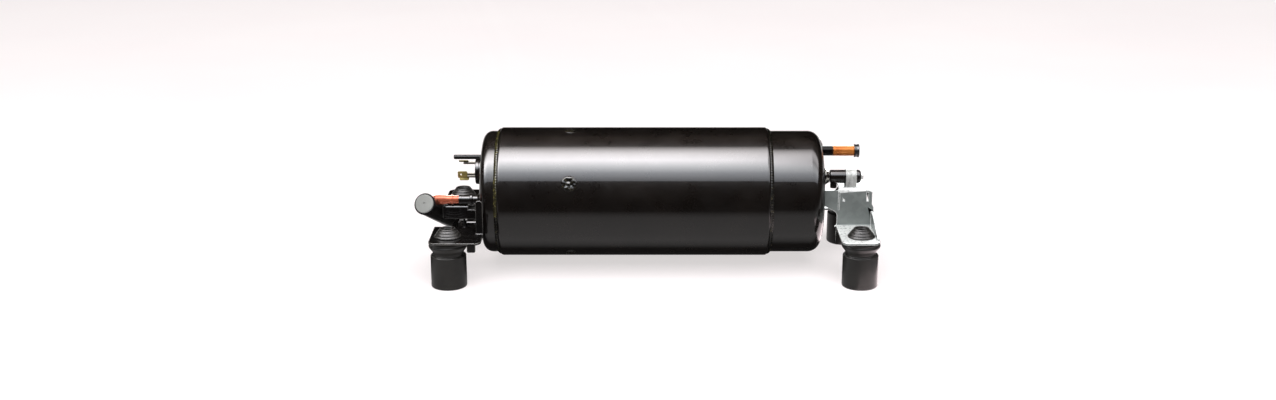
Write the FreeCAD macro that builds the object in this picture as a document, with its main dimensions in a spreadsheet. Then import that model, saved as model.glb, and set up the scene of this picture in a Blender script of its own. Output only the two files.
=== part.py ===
import FreeCAD, Part
import math
import os
import re
import Sketcher

# Horizontal rotary compressor.  X runs along the shell axis from the terminal end to the
# discharge end, Z is up, and the origin is the centre of the four feet on the floor.

os.makedirs("parts", exist_ok=True)
doc = FreeCAD.newDocument("RotaryCompressor")
sheet = doc.addObject("Spreadsheet::Sheet", "Sizes")

SIZES = {
    # shell
    "shell_diameter": 117, "shell_wall": 3.2, "barrel_length": 243.4, "barrel_edge_round": 1.6,
    "axis_height": 68.5, "cap_wall": 3.2, "cap_overlap": 12, "terminal_cap_reach": 16,
    "discharge_cap_reach": 48.7, "terminal_cap_round": 9, "discharge_cap_round": 12,
    "weld_throat": 2.2, "fit_gap": 0.05, "touch_gap": 0.02,
    # plug welds
    "weld_radius": 5, "near_weld_radius": 7, "weld_crown": 1.2,
    # feet
    "terminal_foot_reach": 26.4, "discharge_foot_reach": 30.5, "foot_spacing_y": 130.8,
    "foot_radius": 16, "foot_height": 30, "foot_bore": 4.25, "bead_radius": 17.5,
    "dome_radius": 12, "dome_height": 8, "dome_top_radius": 6.5, "neck_radius": 9.3,
    # sheet-metal brackets
    "bracket_sheet": 2.3, "plate_height": 43.5, "plate_sheet": 2, "plate_edge": 20.6,
    "plate_corner": 7, "plate_hole": 9.5, "plate_overhang": 15.5, "plate_inset": 4.1, "side_wall_height": 76,
    "side_gap_y": 0.4, "small_round": 2, "wall_round": 3, "cross_drop": 8, "cross_corner": 5, "cross_step": 4,
    "arm_offset": 3, "arm_gap": 0.6, "arm_depth": 12.7, "arm_reach": 33.7, "arm_root": 11, "arm_leg": 4.2,
    "arm_flange_reach": 29.9, "arm_flange_depth": 8, "lip_out": 7.7, "lip_in": -0.3, "lip_drop": 6.5,
    "lip_round": 1.5,
    # terminal
    "terminal_rise": 19, "terminal_cup_radius": 10.5, "terminal_rim_radius": 13, "terminal_reach": 6.7,
    "terminal_depth": 9, "pin_circle": 7.6, "pin_radius": 1.2, "pin_reach": 11.5, "pin_inner_reach": 8,
    "seal_radius": 2.95, "tab_width": 6.3, "tab_sheet": 0.8, "tab_length": 8.7, "tab_overlap": 4.5,
    "cover_stud_radius": 2.1, "cover_stud_length": 29, "cover_stud_y": 20, "cover_stud_rise": 27,
    # suction line
    "suction_y": 35, "suction_rise": 2.1, "suction_stub_radius": 4, "suction_stub_wall": 1,
    "suction_stub_reach": 19, "suction_collar_radius": 5.5, "suction_collar_start": 6.4,
    "suction_collar_width": 2.7, "elbow_radius": 3.65, "elbow_wall": 0.7, "elbow_run": 21,
    "elbow_reach": 12.5, "elbow_turn": 39.6, "elbow_roll": 24.2, "elbow_bend": 8,
    # accumulator
    "tank_radius": 9.75, "tank_wall": 1.2, "tank_length": 84, "tank_turn": 74.6, "tank_fall": 26.4,
    "tank_x": 47.9, "tank_y": 50, "tank_rise": 2.5, "tank_nib_radius": 2.6, "tank_nib_reach": 5,
    "tank_plug_depth": 7, "tank_plug_head": 1.6, "tank_plug_rim": 0.9,
    "saddle_y": 12, "saddle_rise": 27.9, "saddle_stud_radius": 3.4, "saddle_stud_reach": 20.5,
    "saddle_sheet": 2, "saddle_half": 6, "saddle_far": 8, "saddle_low": 5, "saddle_high": 12,
    "saddle_wing": 14, "saddle_hole_gap": 0.3, "thread_end": 1, "nut_flat_radius": 5, "nut_height": 4,
    # discharge line
    "discharge_y": 20, "discharge_rise": 33, "boss_radius": 10.5, "boss_reach": 3.1,
    "tube_radius": 4.76, "tube_wall": 0.8, "tube_reach": 32.2, "plug_head_radius": 6.2,
    "plug_head": 4.6, "plug_depth": 7, "plug_clearance": 0.1,
    # process tube and its strap
    "process_y": 22, "process_rise": 20, "process_radius": 6, "process_start": 5.9,
    "process_length": 28, "process_neck_radius": 3.2, "process_collar_radius": 7.4,
    "process_branch_radius": 3, "process_branch_reach": 10.5, "nib_radius": 2.4,
    "strap_start": 19.9, "strap_width": 9.6, "strap_sheet": 1.1, "strap_foot": 8.5,
    "strap_bore": 1.8, "screw_radius": 1.65, "screw_head_radius": 3.2, "screw_head": 2.4, "screw_depth": 4,
    # discharge end bracket
    "leg_start": 13.7, "leg_width": 30, "leg_drop": 8.1, "leg_y": 32.3, "leg_flange": 28, "leg_splay": 1.5,
    "leg_hip": 15, "leg_knee": 18, "leg_toe": 14, "leg_toe_round": 5, "web_depth": 4.5, "web_drop": 2.4,
    "web_corner": 6, "web_foot": 10, "web_arch": 12, "ear_reach": 7, "ear_depth": 14, "ear_low": 11,
    "ear_high": 1, "slot_edge": 3.6, "slot_far_edge": 5, "slot_gap": 1.4, "slot_low": 12, "slot_high": 4,
    "foot_front": 18.5, "foot_back": 14.5, "plate_lap": 1, "gusset_height": 13, "gusset_low": 2,
    "gusset_run": 12, "gusset_slope": 1, "gusset_root": 0.5, "gusset_round": 4,
    # pump
    "pump_setback": 64.6, "pump_roll": 117, "cylinder_height": 20, "cylinder_bore": 24,
    "eccentricity": 4.2, "roller_gap": 0.1, "side_gap": 0.05, "vane_sheet": 3.2, "vane_length": 19,
    "vane_depth": 45, "spring_radius": 3.4, "spring_hole": 4, "spring_wire": 0.45,
    "shaft_radius": 9, "eccentric_radius": 13.5, "bearing_gap": 0.03, "hub_radius": 14,
    "main_flange_radius": 38, "main_flange": 8, "main_hub": 22, "sub_flange_radius": 30.5,
    "sub_flange": 8, "sub_hub": 16, "sub_hub_radius": 13, "pump_bolt_circle": 26.6,
    "pump_bolt_radius": 2.4, "bolt_head_radius": 4, "bolt_head": 4, "muffler_radius": 36,
    "muffler_height": 13, "muffler_sheet": 1, "suction_bore": 3, "port_circle": 21, "port_radius": 2.6,
    "gas_hole_radius": 6, "gas_hole_shift": 4.4, "reed_sheet": 0.4, "reed_width": 7, "reed_length": 16,
    "stop_sheet": 1.2,
    # motor
    "motor_setback": 160.1, "stack_length": 60, "stator_bore": 28.6, "slot_depth": 14, "slot_width": 8,
    "winding_reach": 21, "winding_outer": 46, "winding_inner": 31, "air_gap": 0.6,
    "rotor_length": 64, "end_plate": 2, "rivet_circle": 15.5, "rivet_radius": 1.6, "weight_height": 9,
    "weight_outer": 26, "weight_inner": 13.5, "magnet_width": 20, "magnet_sheet": 2.4,
    "magnet_distance": 22.6,
    # inner pipes and leads
    "oil_pipe_radius": 3, "oil_pipe_wall": 0.7, "oil_pipe_bend": 9, "oil_pipe_drop": 44,
    "oil_cover": 3, "lead_radius": 1.3, "lead_drop": 2.025, "lead_bend": 14,
    "connector_length": 12, "connector_radius": 8.8,
}
for row, (name, size) in enumerate(SIZES.items(), 1):
    sheet.set(f"A{row}", name)
    sheet.set(f"B{row}", str(size))
    sheet.setAlias(f"B{row}", name)
doc.recompute()

# places along the shell axis, worked out from the sizes
FOOT_X = "((terminal_foot_reach + terminal_cap_reach + barrel_length + discharge_cap_reach" \
         " + discharge_foot_reach) / 2)"
TERMINAL_FACE = f"(terminal_foot_reach - {FOOT_X})"
BARREL_START = f"(terminal_foot_reach + terminal_cap_reach - {FOOT_X})"
BARREL_END = f"({BARREL_START} + barrel_length)"
DISCHARGE_FACE = f"({FOOT_X} - discharge_foot_reach)"
PUMP_X = f"({BARREL_START} + pump_setback)"
MOTOR_X = f"({BARREL_START} + motor_setback)"
SHELL_BORE = "(shell_diameter / 2 - shell_wall)"
CAP_RADIUS = f"({SHELL_BORE} - fit_gap)"
PLATE_TOP = "(plate_height + plate_sheet)"

nodes = []


def formula(text):
    """Write a size expression with the sheet's name before each size."""
    return re.sub(r"[a-z_][a-z_0-9]*", lambda m: "Sizes." + m[0] if m[0] in SIZES else m[0], str(text))


def value(text):
    """The value of a size expression, in millimetres or degrees."""
    return float(getattr(result := sheet.evalExpression(formula(text)), "Value", result))


def place(piece, x=0, y=0, z=0, yaw=0, pitch=0, roll=0):
    """Bind a piece's Placement to size expressions."""
    spot = "; ".join(f"({formula(part)}) * 1mm" for part in (x, y, z))
    turn = "; ".join(formula(part) for part in (yaw, pitch, roll))
    piece.setExpression("Placement", f"create(<<placement>>; create(<<vector>>; {spot});"
                                     f" create(<<rotation>>; {turn}))")
    return piece


def origin_part(body, role):
    return next(part for part in body.Origin.OriginFeatures if part.Role == role)


def new_body(name, node=True):
    """Start a PartDesign body; a node is written to its own file."""
    body = doc.addObject("PartDesign::Body", name)
    body.Label = name
    if node:
        nodes.append(body)
    return body


def new_sketch(body, plane, offset=0):
    """Start a sketch on one of the body's origin planes, moved along the plane's normal."""
    sketch = body.newObject("Sketcher::SketchObject", body.Name + "_sketch")
    sketch.AttachmentSupport = [(origin_part(body, plane), "")]
    sketch.MapMode = "FlatFace"
    sketch.setExpression("AttachmentOffset.Base.z", formula(offset))
    return sketch


def hold(sketch, kind, *where, size):
    """Add a sketch dimension and bind it to a size expression."""
    number = sketch.addConstraint(Sketcher.Constraint(kind, *where, value(size)))
    sketch.setExpression(f"Constraints[{number}]", formula(size))


def hold_point(sketch, geometry, end, point):
    hold(sketch, "DistanceX", -1, 1, geometry, end, size=point[0])
    hold(sketch, "DistanceY", -1, 1, geometry, end, size=point[1])


def circle(sketch, x, y, radius):
    centre = FreeCAD.Vector(value(x), value(y), 0)
    ring = sketch.addGeometry(Part.Circle(centre, FreeCAD.Vector(0, 0, 1), value(radius)), False)
    hold_point(sketch, ring, 3, (x, y))
    hold(sketch, "Radius", ring, size=radius)


def corner(before, here, after, radius):
    """The two tangent points and the middle of the arc that rounds a corner."""
    first = (before - here).normalize()
    second = (after - here).normalize()
    half = math.acos(max(-1.0, min(1.0, first.dot(second)))) / 2
    inward = (first + second).normalize()
    middle = here + inward * (radius / math.sin(half) - radius)
    return here + first * (radius / math.tan(half)), middle, here + second * (radius / math.tan(half))


def outline(sketch, points, rounds=None):
    """Draw a closed outline through points given as size expressions, with some corners rounded."""
    rounds = rounds or {}
    spots = [FreeCAD.Vector(value(a), value(b), 0) for a, b in points]
    count = len(spots)
    arcs = {i: corner(spots[i - 1], spots[i], spots[(i + 1) % count], value(r)) for i, r in rounds.items()}
    lines = []
    for i in range(count):
        j = (i + 1) % count
        start = arcs[i][2] if i in arcs else spots[i]
        end = arcs[j][0] if j in arcs else spots[j]
        lines.append(sketch.addGeometry(Part.LineSegment(start, end), False))
    for i, point in enumerate(points):
        if i not in arcs:
            sketch.addConstraint(Sketcher.Constraint("Coincident", lines[i - 1], 2, lines[i], 1))
            hold_point(sketch, lines[i], 1, point)
            continue
        ends = arcs[i]
        leftwards = (ends[1] - ends[0]).cross(ends[2] - ends[1]).z > 0
        arc = sketch.addGeometry(Part.Arc(*(ends if leftwards else ends[::-1])), False)
        first = 1 if leftwards else 2
        mark = sketch.addGeometry(Part.Point(spots[i]), True)
        hold_point(sketch, mark, 1, point)
        sketch.addConstraint(Sketcher.Constraint("PointOnObject", mark, 1, lines[i - 1]))
        sketch.addConstraint(Sketcher.Constraint("PointOnObject", mark, 1, lines[i]))
        sketch.addConstraint(Sketcher.Constraint("Tangent", lines[i - 1], 2, arc, first))
        sketch.addConstraint(Sketcher.Constraint("Tangent", lines[i], 1, arc, 3 - first))
        hold(sketch, "Radius", arc, size=rounds[i])


def extrude(body, sketch, kind, length, backwards=False, midplane=False):
    """Pad or pocket a sketch and make sure that the solid grew or shrank."""
    doc.recompute()
    before = body.Shape.Volume if body.Tip else 0
    feature = body.newObject("PartDesign::" + kind, body.Name + "_" + kind.lower())
    feature.Profile = sketch
    feature.setExpression("Length", formula(length))
    feature.Reversed = backwards
    feature.Midplane = midplane
    doc.recompute()
    grew = feature.Shape.Volume - before
    if (grew <= 0) if kind == "Pad" else (grew >= 0):
        raise RuntimeError(f"{feature.Name} changed nothing: {grew}")
    return feature


def pad(body, sketch, length, **how):
    return extrude(body, sketch, "Pad", length, **how)


def pocket(body, sketch, length, **how):
    return extrude(body, sketch, "Pocket", length, **how)


def turn(body, points, rounds=None, axis="H_Axis"):
    """Revolve an outline of (along, radius) points about the body's own X axis, or about Z."""
    sketch = new_sketch(body, "XZ_Plane")
    outline(sketch, points, rounds)
    doc.recompute()
    before = body.Shape.Volume if body.Tip else 0
    feature = body.newObject("PartDesign::Revolution", body.Name + "_revolution")
    feature.Profile = sketch
    feature.ReferenceAxis = (sketch, [axis])
    feature.Angle = 360
    doc.recompute()
    if feature.Shape.Volume <= before:
        raise RuntimeError(f"{feature.Name} changed nothing")
    return feature


def polar(body, feature, count):
    """Repeat a feature evenly about the body's own X axis."""
    doc.recompute()
    pattern = body.newObject("PartDesign::PolarPattern", body.Name + "_pattern")
    pattern.Originals = [feature]
    pattern.Axis = (origin_part(body, "X_Axis"), [""])
    pattern.Angle = 360
    pattern.Occurrences = count
    body.Tip = pattern
    doc.recompute()
    return pattern


def turned(name, points, rounds=None, node=True):
    """A round piece in one revolution about its own X axis."""
    body = new_body(name, node)
    turn(body, points, rounds)
    return body


def ring_points(start, end, outer, inner):
    return [(start, inner), (start, outer), (end, outer), (end, inner)]


def tube(name, start, end, outer, inner, node=True):
    return turned(name, ring_points(start, end, outer, inner), node=node)


def rod(name, start, end, radius, node=True):
    return turned(name, ring_points(start, end, radius, 0), node=node)


def hexagon(sketch, flat):
    """A hexagon about the sketch's origin, by its distance from centre to flat."""
    reach = f"{flat} / cos(30)"
    outline(sketch, [(f"{reach} * cos({60 * i})", f"{reach} * sin({60 * i})") for i in range(6)])


def group(name, pieces):
    """Put identical separate solids into one node."""
    node = doc.addObject("Part::Compound", name)
    node.Label = name
    node.Links = pieces
    nodes.append(node)
    return node


def cut(name, base, *tools):
    """A node made of one shape less others."""
    if base in nodes:
        nodes.remove(base)
    for number, tool in enumerate(tools, 1):
        result = doc.addObject("Part::Cut", name if number == len(tools) else f"{name}_cut_{number}")
        result.Base = base
        result.Tool = tool
        base = result
    base.Label = name
    nodes.append(base)
    return base


def on_circle(radius, degrees):
    """A point at a radius and an angle, as two size expressions."""
    return f"{radius} * cos({degrees})", f"{radius} * sin({degrees})"


def at_terminal(piece, x=0, y=0, rise=0, **turned_by):
    """Place a piece by the terminal cap's face, on the shell axis unless y and rise move it."""
    return place(piece, f"{TERMINAL_FACE} + {x}", y, f"axis_height + {rise}", **turned_by)


def at_discharge(piece, x=0, y=0, rise=0):
    return place(piece, f"{DISCHARGE_FACE} + {x}", y, f"axis_height + {rise}")


def at_pump(piece):
    return place(piece, PUMP_X, 0, "axis_height", roll="pump_roll")


def at_motor(piece):
    return place(piece, MOTOR_X, 0, "axis_height")

# ---------------------------------------------------------------- shell

WELDS = ((84, "weld_radius"), (22.4, "near_weld_radius"), (-55, "weld_radius"), (-128, "weld_radius"),
         (157, "weld_radius"))

barrel = turned("barrel_blank",
                [(0, SHELL_BORE), (0, "shell_diameter / 2"), ("barrel_length", "shell_diameter / 2"),
                 ("barrel_length", SHELL_BORE)],
                {1: "barrel_edge_round", 2: "barrel_edge_round"}, node=False)
place(barrel, BARREL_START, 0, "axis_height")


def weld_plug(name, degrees, radius):
    """One plug weld: a filled hole with a raised ring and a small crown in its middle."""
    skin = "shell_diameter / 2"
    plug = turned(name, [(SHELL_BORE, 0), (SHELL_BORE, radius), (f"{skin} + weld_crown * 0.4", radius),
                         (f"{skin} + weld_crown", f"{radius} * 0.8"),
                         (f"{skin} + weld_crown * 0.3", f"{radius} * 0.5"),
                         (f"{skin} + weld_crown * 0.7", f"{radius} * 0.2"),
                         (f"{skin} + weld_crown * 0.7", 0)], node=False)
    return point_out(plug, degrees)


def point_out(piece, degrees):
    """Turn a piece's own X axis outwards from the shell axis, degrees above the near side."""
    return place(piece, PUMP_X, 0, "axis_height", yaw=-90, pitch=-degrees)


hole_tools = [point_out(rod(f"weld_hole_{n}", "shell_diameter / 4", "shell_diameter",
                            f"{radius} + fit_gap", node=False), degrees)
              for n, (degrees, radius) in enumerate(WELDS, 1)]
weld_holes = doc.addObject("Part::MultiFuse", "weld_holes")
weld_holes.Shapes = hole_tools
cut("shell_barrel", barrel, weld_holes)
group("plug_welds", [weld_plug(f"plug_weld_{n}", *weld) for n, weld in enumerate(WELDS, 1)])


def end_cap(name, reach, bend, openings):
    """A pressed cap with its face at X 0 and its skirt towards +X, pierced by round openings."""
    skirt = f"({reach} + cap_overlap)"
    inner = f"({CAP_RADIUS} - cap_wall)"
    body = turned(name, [(0, 0), (0, CAP_RADIUS), (skirt, CAP_RADIUS), (skirt, inner),
                         ("cap_wall", inner), ("cap_wall", 0)],
                  {1: bend, 4: f"{bend} - cap_wall * 0.7"})
    sketch = new_sketch(body, "YZ_Plane")
    for y, rise, radius in openings:
        circle(sketch, y, rise, radius)
    pocket(body, sketch, "cap_wall * 3", midplane=True)
    return body


at_terminal(end_cap("terminal_end_cap", "terminal_cap_reach", "terminal_cap_round",
                    [(0, "terminal_rise", "terminal_cup_radius + fit_gap"),
                     ("-suction_y", "suction_rise", "suction_stub_radius + fit_gap")]))
discharge_cap = end_cap("discharge_end_cap", "discharge_cap_reach", "discharge_cap_round",
                        [("-discharge_y", "discharge_rise", "tube_radius + fit_gap"),
                         ("process_y", "process_rise", "process_neck_radius + fit_gap")])
place(discharge_cap, DISCHARGE_FACE, 0, "axis_height", yaw=180)


def seam_weld(name, place_at, away):
    """A fillet of weld in the corner between the barrel's end and a cap."""
    bead = turned(name, [(0, CAP_RADIUS + " + touch_gap * 2"),
                         (0, f"{CAP_RADIUS} + weld_throat"),
                         (f"{away} * weld_throat * 0.6", f"{CAP_RADIUS} + weld_throat * 0.8"),
                         (f"{away} * weld_throat * 1.3", CAP_RADIUS + " + touch_gap * 2")], node=False)
    return place(bead, place_at, 0, "axis_height")


group("seam_welds", [seam_weld("terminal_seam", BARREL_START, -1),
                     seam_weld("discharge_seam", BARREL_END, 1)])

# ---------------------------------------------------------------- electrical terminal

PIN_ANGLES = (65, 185, 305)
CUP_LIP = "(terminal_reach - 1.2)"

cup = turned("terminal_body",
             [(f"-{CUP_LIP}", 0), (f"-{CUP_LIP}", "terminal_rim_radius - 2.5"),
              ("-terminal_reach", "terminal_rim_radius - 2.5"), ("-terminal_reach", "terminal_rim_radius"),
              (0, "terminal_rim_radius"), (0, "terminal_cup_radius"),
              ("terminal_depth", "terminal_cup_radius"), ("terminal_depth", "terminal_cup_radius - 1.5"),
              ("1.5", "terminal_cup_radius - 1.5"), ("1.5", 0)], {3: 1, 4: 0.5})
sketch = new_sketch(cup, "YZ_Plane")
for degrees in PIN_ANGLES:
    circle(sketch, *on_circle("pin_circle", degrees), "seal_radius")
pocket(cup, sketch, "terminal_depth * 4", midplane=True)
at_terminal(cup, rise="terminal_rise")


def at_pin(piece, degrees, **turned_by):
    y, rise = on_circle("pin_circle", degrees)
    return at_terminal(piece, y=y, rise=f"terminal_rise + {rise}", **turned_by)


def tab(name):
    """A flat push-on blade with a hole, welded to a pin's side, broad face outwards."""
    body = new_body(name, node=False)
    sketch = new_sketch(body, "XZ_Plane", "pin_radius + touch_gap")
    end = "(tab_overlap - terminal_reach - pin_reach - tab_length)"
    outline(sketch, [(end, "-tab_width / 2"), (f"{end} + tab_length", "-tab_width / 2"),
                     (f"{end} + tab_length", "tab_width / 2"), (end, "tab_width / 2")],
            {0: 1, 1: 1.2, 2: 1.2, 3: 1})
    circle(sketch, f"{end} + tab_length * 0.35", 0, "tab_width * 0.14")
    pad(body, sketch, "tab_sheet")
    return body


group("terminal_pins", [at_pin(rod(f"terminal_pin_{n}", "-terminal_reach - pin_reach", "pin_inner_reach",
                                   "pin_radius", node=False), degrees)
                        for n, degrees in enumerate(PIN_ANGLES, 1)])
group("terminal_glass_seals",
      [at_pin(tube(f"glass_seal_{n}", f"-{CUP_LIP} - 1", "2.2", "seal_radius - touch_gap",
                   "pin_radius + touch_gap", node=False), degrees)
       for n, degrees in enumerate(PIN_ANGLES, 1)])
group("terminal_tabs", [at_pin(tab(f"terminal_tab_{n}"), degrees, roll=degrees + 180)
                        for n, degrees in enumerate(PIN_ANGLES, 1)])

stud = rod("terminal_cover_stud", "-cover_stud_length", 0, "cover_stud_radius")
sketch = new_sketch(stud, "YZ_Plane")
outline(sketch, [("-cover_stud_radius * 1.4", "-cover_stud_radius * 2.4"),
                 ("cover_stud_radius * 1.4", "-cover_stud_radius * 2.4"),
                 ("cover_stud_radius * 1.4", "cover_stud_radius * 1.4"),
                 ("-cover_stud_radius * 1.4", "cover_stud_radius * 1.4")], {0: 1, 1: 1, 2: 1, 3: 1})
pad(stud, sketch, "cap_wall * 0.5", backwards=True)
at_terminal(stud, y="cover_stud_y", rise="cover_stud_rise")

# ---------------------------------------------------------------- suction line

at_terminal(tube("suction_stub", "-suction_stub_reach", "cap_wall + 2", "suction_stub_radius",
                 "suction_stub_radius - suction_stub_wall"), y="-suction_y", rise="suction_rise")
at_terminal(turned("suction_collar",
                   ring_points("-suction_collar_start - suction_collar_width", "-suction_collar_start",
                               "suction_collar_radius", "suction_stub_radius + fit_gap"), {1: 0.6, 2: 0.6}),
            y="-suction_y", rise="suction_rise")


def at_tank(piece):
    return at_terminal(piece, x="-tank_x", y="-tank_y", rise="tank_rise", yaw="tank_turn", pitch="tank_fall")


def at_elbow(piece):
    return at_terminal(piece, x="-suction_stub_reach", y="-suction_y", rise="suction_rise", yaw=180,
                       roll="-elbow_roll")


def route(sketch, points, bend):
    """Draw an open path through points given as size expressions, each inner corner rounded alike."""
    spots = [FreeCAD.Vector(value(a), value(b), 0) for a, b in points]
    inner = range(1, len(spots) - 1)
    arcs = {i: corner(spots[i - 1], spots[i], spots[i + 1], value(bend)) for i in inner}
    lines = []
    for i in range(len(spots) - 1):
        start = arcs[i][2] if i in arcs else spots[i]
        end = arcs[i + 1][0] if i + 1 in arcs else spots[i + 1]
        lines.append(sketch.addGeometry(Part.LineSegment(start, end), False))
    for i in inner:
        leftwards = (arcs[i][1] - arcs[i][0]).cross(arcs[i][2] - arcs[i][1]).z > 0
        arc = sketch.addGeometry(Part.Arc(*(arcs[i] if leftwards else arcs[i][::-1])), False)
        first = 1 if leftwards else 2
        mark = sketch.addGeometry(Part.Point(spots[i]), True)
        hold_point(sketch, mark, 1, points[i])
        sketch.addConstraint(Sketcher.Constraint("PointOnObject", mark, 1, lines[i - 1]))
        sketch.addConstraint(Sketcher.Constraint("PointOnObject", mark, 1, lines[i]))
        sketch.addConstraint(Sketcher.Constraint("Tangent", lines[i - 1], 2, arc, first))
        sketch.addConstraint(Sketcher.Constraint("Tangent", lines[i], 1, arc, 3 - first))
        hold(sketch, "Radius", arc, size=bend)
    hold_point(sketch, lines[0], 1, points[0])
    hold_point(sketch, lines[-1], 2, points[-1])


def bent_pipe(name, points, bend, outer, inner=None, node=True):
    """A pipe or wire that starts at the body's origin along +X and follows points in its XY plane."""
    body = new_body(name, node)
    path = new_sketch(body, "XY_Plane")
    route(path, points, bend)
    section = new_sketch(body, "YZ_Plane")
    circle(section, 0, 0, outer)
    if inner:
        circle(section, 0, 0, inner)
    doc.recompute()
    pipe = body.newObject("PartDesign::AdditivePipe", name + "_pipe")
    pipe.Profile = section
    pipe.Spine = (path, [])
    doc.recompute()
    return body


elbow_solid = bent_pipe("elbow_blank", [(0, 0), ("elbow_run", 0),
                                        ("elbow_run + elbow_reach * cos(elbow_turn)",
                                         "elbow_reach * sin(elbow_turn)")],
                        "elbow_bend", "elbow_radius", "elbow_radius - elbow_wall", node=False)
at_elbow(elbow_solid)
tank_envelope = at_tank(rod("tank_envelope", 0, "tank_length", "tank_radius", node=False))
cut("suction_elbow", elbow_solid, tank_envelope)

tank = turned("suction_accumulator",
                    [(0, "tank_radius - tank_wall"), (0, "tank_radius"), ("tank_length", "tank_radius"),
                     ("tank_length", "tank_nib_radius"), ("tank_length + tank_nib_reach", "tank_nib_radius"),
                     ("tank_length + tank_nib_reach", 0), ("tank_length - tank_wall", 0),
                     ("tank_length - tank_wall", "tank_radius - tank_wall")],
                    {1: 0.5, 2: "tank_radius * 0.4", 7: "tank_radius * 0.25"})
at_tank(tank)

at_tank(turned("suction_plug",
               [("-tank_plug_head", 0), ("-tank_plug_head", "tank_radius - tank_plug_rim"),
                ("-touch_gap", "tank_radius - tank_plug_rim"),
                ("-touch_gap", "tank_radius - tank_wall - plug_clearance"),
                ("tank_plug_depth", "tank_radius - tank_wall - plug_clearance - 0.5"),
                ("tank_plug_depth", 0)], {1: 0.7}))

# ---------------------------------------------------------------- terminal end bracket

SHEET = "bracket_sheet"
WALL_Y = f"({SHELL_BORE} + side_gap_y)"


def foot_plate(body, near, start, end, inner, foot_at, step=None):
    """A flat foot of a bracket with a hole for the rubber foot's neck; a step keeps off the cap."""
    side = -1 if near else 1
    sketch = new_sketch(body, "XY_Plane", "plate_height")
    outer = f"{side} * (foot_spacing_y / 2 + plate_edge)"
    inner_edge = [(end, step), (0, step), (0, inner)] if step else [(end, inner)]
    outline(sketch, [(start, outer), (end, outer), *inner_edge, (start, inner)],
            {0: "plate_corner", 1: "plate_corner"})
    circle(sketch, foot_at, f"{side} * foot_spacing_y / 2", "plate_hole")
    return pad(body, sketch, "plate_sheet")


def wall(body, y, points, rounds=None, sheet=SHEET):
    """A sheet wall facing the near side, its front face at y."""
    sketch = new_sketch(body, "XZ_Plane", f"-({y})")
    outline(sketch, points, rounds)
    return pad(body, sketch, sheet, backwards=True)


ARM_Y = "(suction_y + arm_offset)"
ARM_TOP = "(axis_height + suction_rise - suction_stub_radius - arm_gap)"
ARM_LOW = f"({ARM_TOP} - arm_depth)"
PLATE_OUT = "(terminal_foot_reach + plate_overhang)"
CROSS_LOW = "(plate_height - cross_drop)"
CROSS_TOP = f"({ARM_TOP} - cross_step)"

bracket = new_body("terminal_end_bracket")
sketch = new_sketch(bracket, "YZ_Plane")
side_y = f"({WALL_Y} + {SHEET})"
outline(sketch, [(f"-{side_y}", CROSS_LOW), (side_y, CROSS_LOW), (side_y, CROSS_TOP),
                 (f"-{side_y}", CROSS_TOP)], {0: "cross_corner", 1: "cross_corner"})
pad(bracket, sketch, SHEET, backwards=True)
for side in (-1, 1):
    near = side < 0
    front = f"-{side_y}" if near else WALL_Y
    wall(bracket, front, [(f"-{SHEET}", "plate_height"), ("plate_inset", "plate_height"),
                          ("plate_inset", "side_wall_height"), (f"-{SHEET}", "side_wall_height")],
         {2: "wall_round", 3: "wall_round"})
    foot_plate(bracket, near, f"-{PLATE_OUT}", "plate_inset", f"{side} * ({ARM_Y} - {SHEET})",
               "-terminal_foot_reach", step=f"{side} * {WALL_Y}")
wall(bracket, f"-{ARM_Y}",
     [(f"-{SHEET} / 2", "plate_height"), (f"-{SHEET} / 2", CROSS_TOP), ("-arm_root", CROSS_TOP),
      ("-arm_root", ARM_TOP), ("-arm_reach", ARM_TOP), ("-arm_reach", ARM_LOW), ("-arm_leg", ARM_LOW),
      ("-arm_leg", "plate_height")],
     {4: "wall_round", 5: "small_round", 6: "small_round"})
sketch = new_sketch(bracket, "XY_Plane", f"{ARM_TOP} - {SHEET}")
FLANGE_Y = f"(arm_flange_depth - {ARM_Y})"
outline(sketch, [("-arm_flange_reach", f"-{ARM_Y}"), ("-arm_root", f"-{ARM_Y}"), ("-arm_root", FLANGE_Y),
                 ("-arm_flange_reach", FLANGE_Y)], {2: "small_round", 3: "small_round"})
pad(bracket, sketch, SHEET)
wall(bracket, "-(foot_spacing_y / 2 + plate_edge)",
     [("-lip_out", "plate_height - lip_drop"), ("lip_in", "plate_height - lip_drop"), ("lip_in", PLATE_TOP),
      ("-lip_out", PLATE_TOP)], {0: "lip_round", 1: "lip_round"})
place(bracket, TERMINAL_FACE, 0, 0)

# ---------------------------------------------------------------- accumulator saddle

SADDLE_OUT = f"({SHEET} + saddle_stud_reach - nut_height - saddle_sheet - thread_end)"
SADDLE_LOW = "(-saddle_rise - saddle_low)"
SADDLE_HIGH = "(saddle_high - saddle_rise)"
stud = rod("saddle_stud", "-saddle_stud_reach", 0, "saddle_stud_radius")
at_terminal(stud, x=f"-{SHEET} - touch_gap", y="-saddle_y", rise="-saddle_rise")
nut = new_body("saddle_nut")
sketch = new_sketch(nut, "YZ_Plane")
hexagon(sketch, "nut_flat_radius")
circle(sketch, 0, 0, "saddle_stud_radius + fit_gap")
pad(nut, sketch, "nut_height", backwards=True)
at_terminal(nut, x=f"-{SADDLE_OUT} - saddle_sheet", y="-saddle_y", rise="-saddle_rise")

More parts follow.
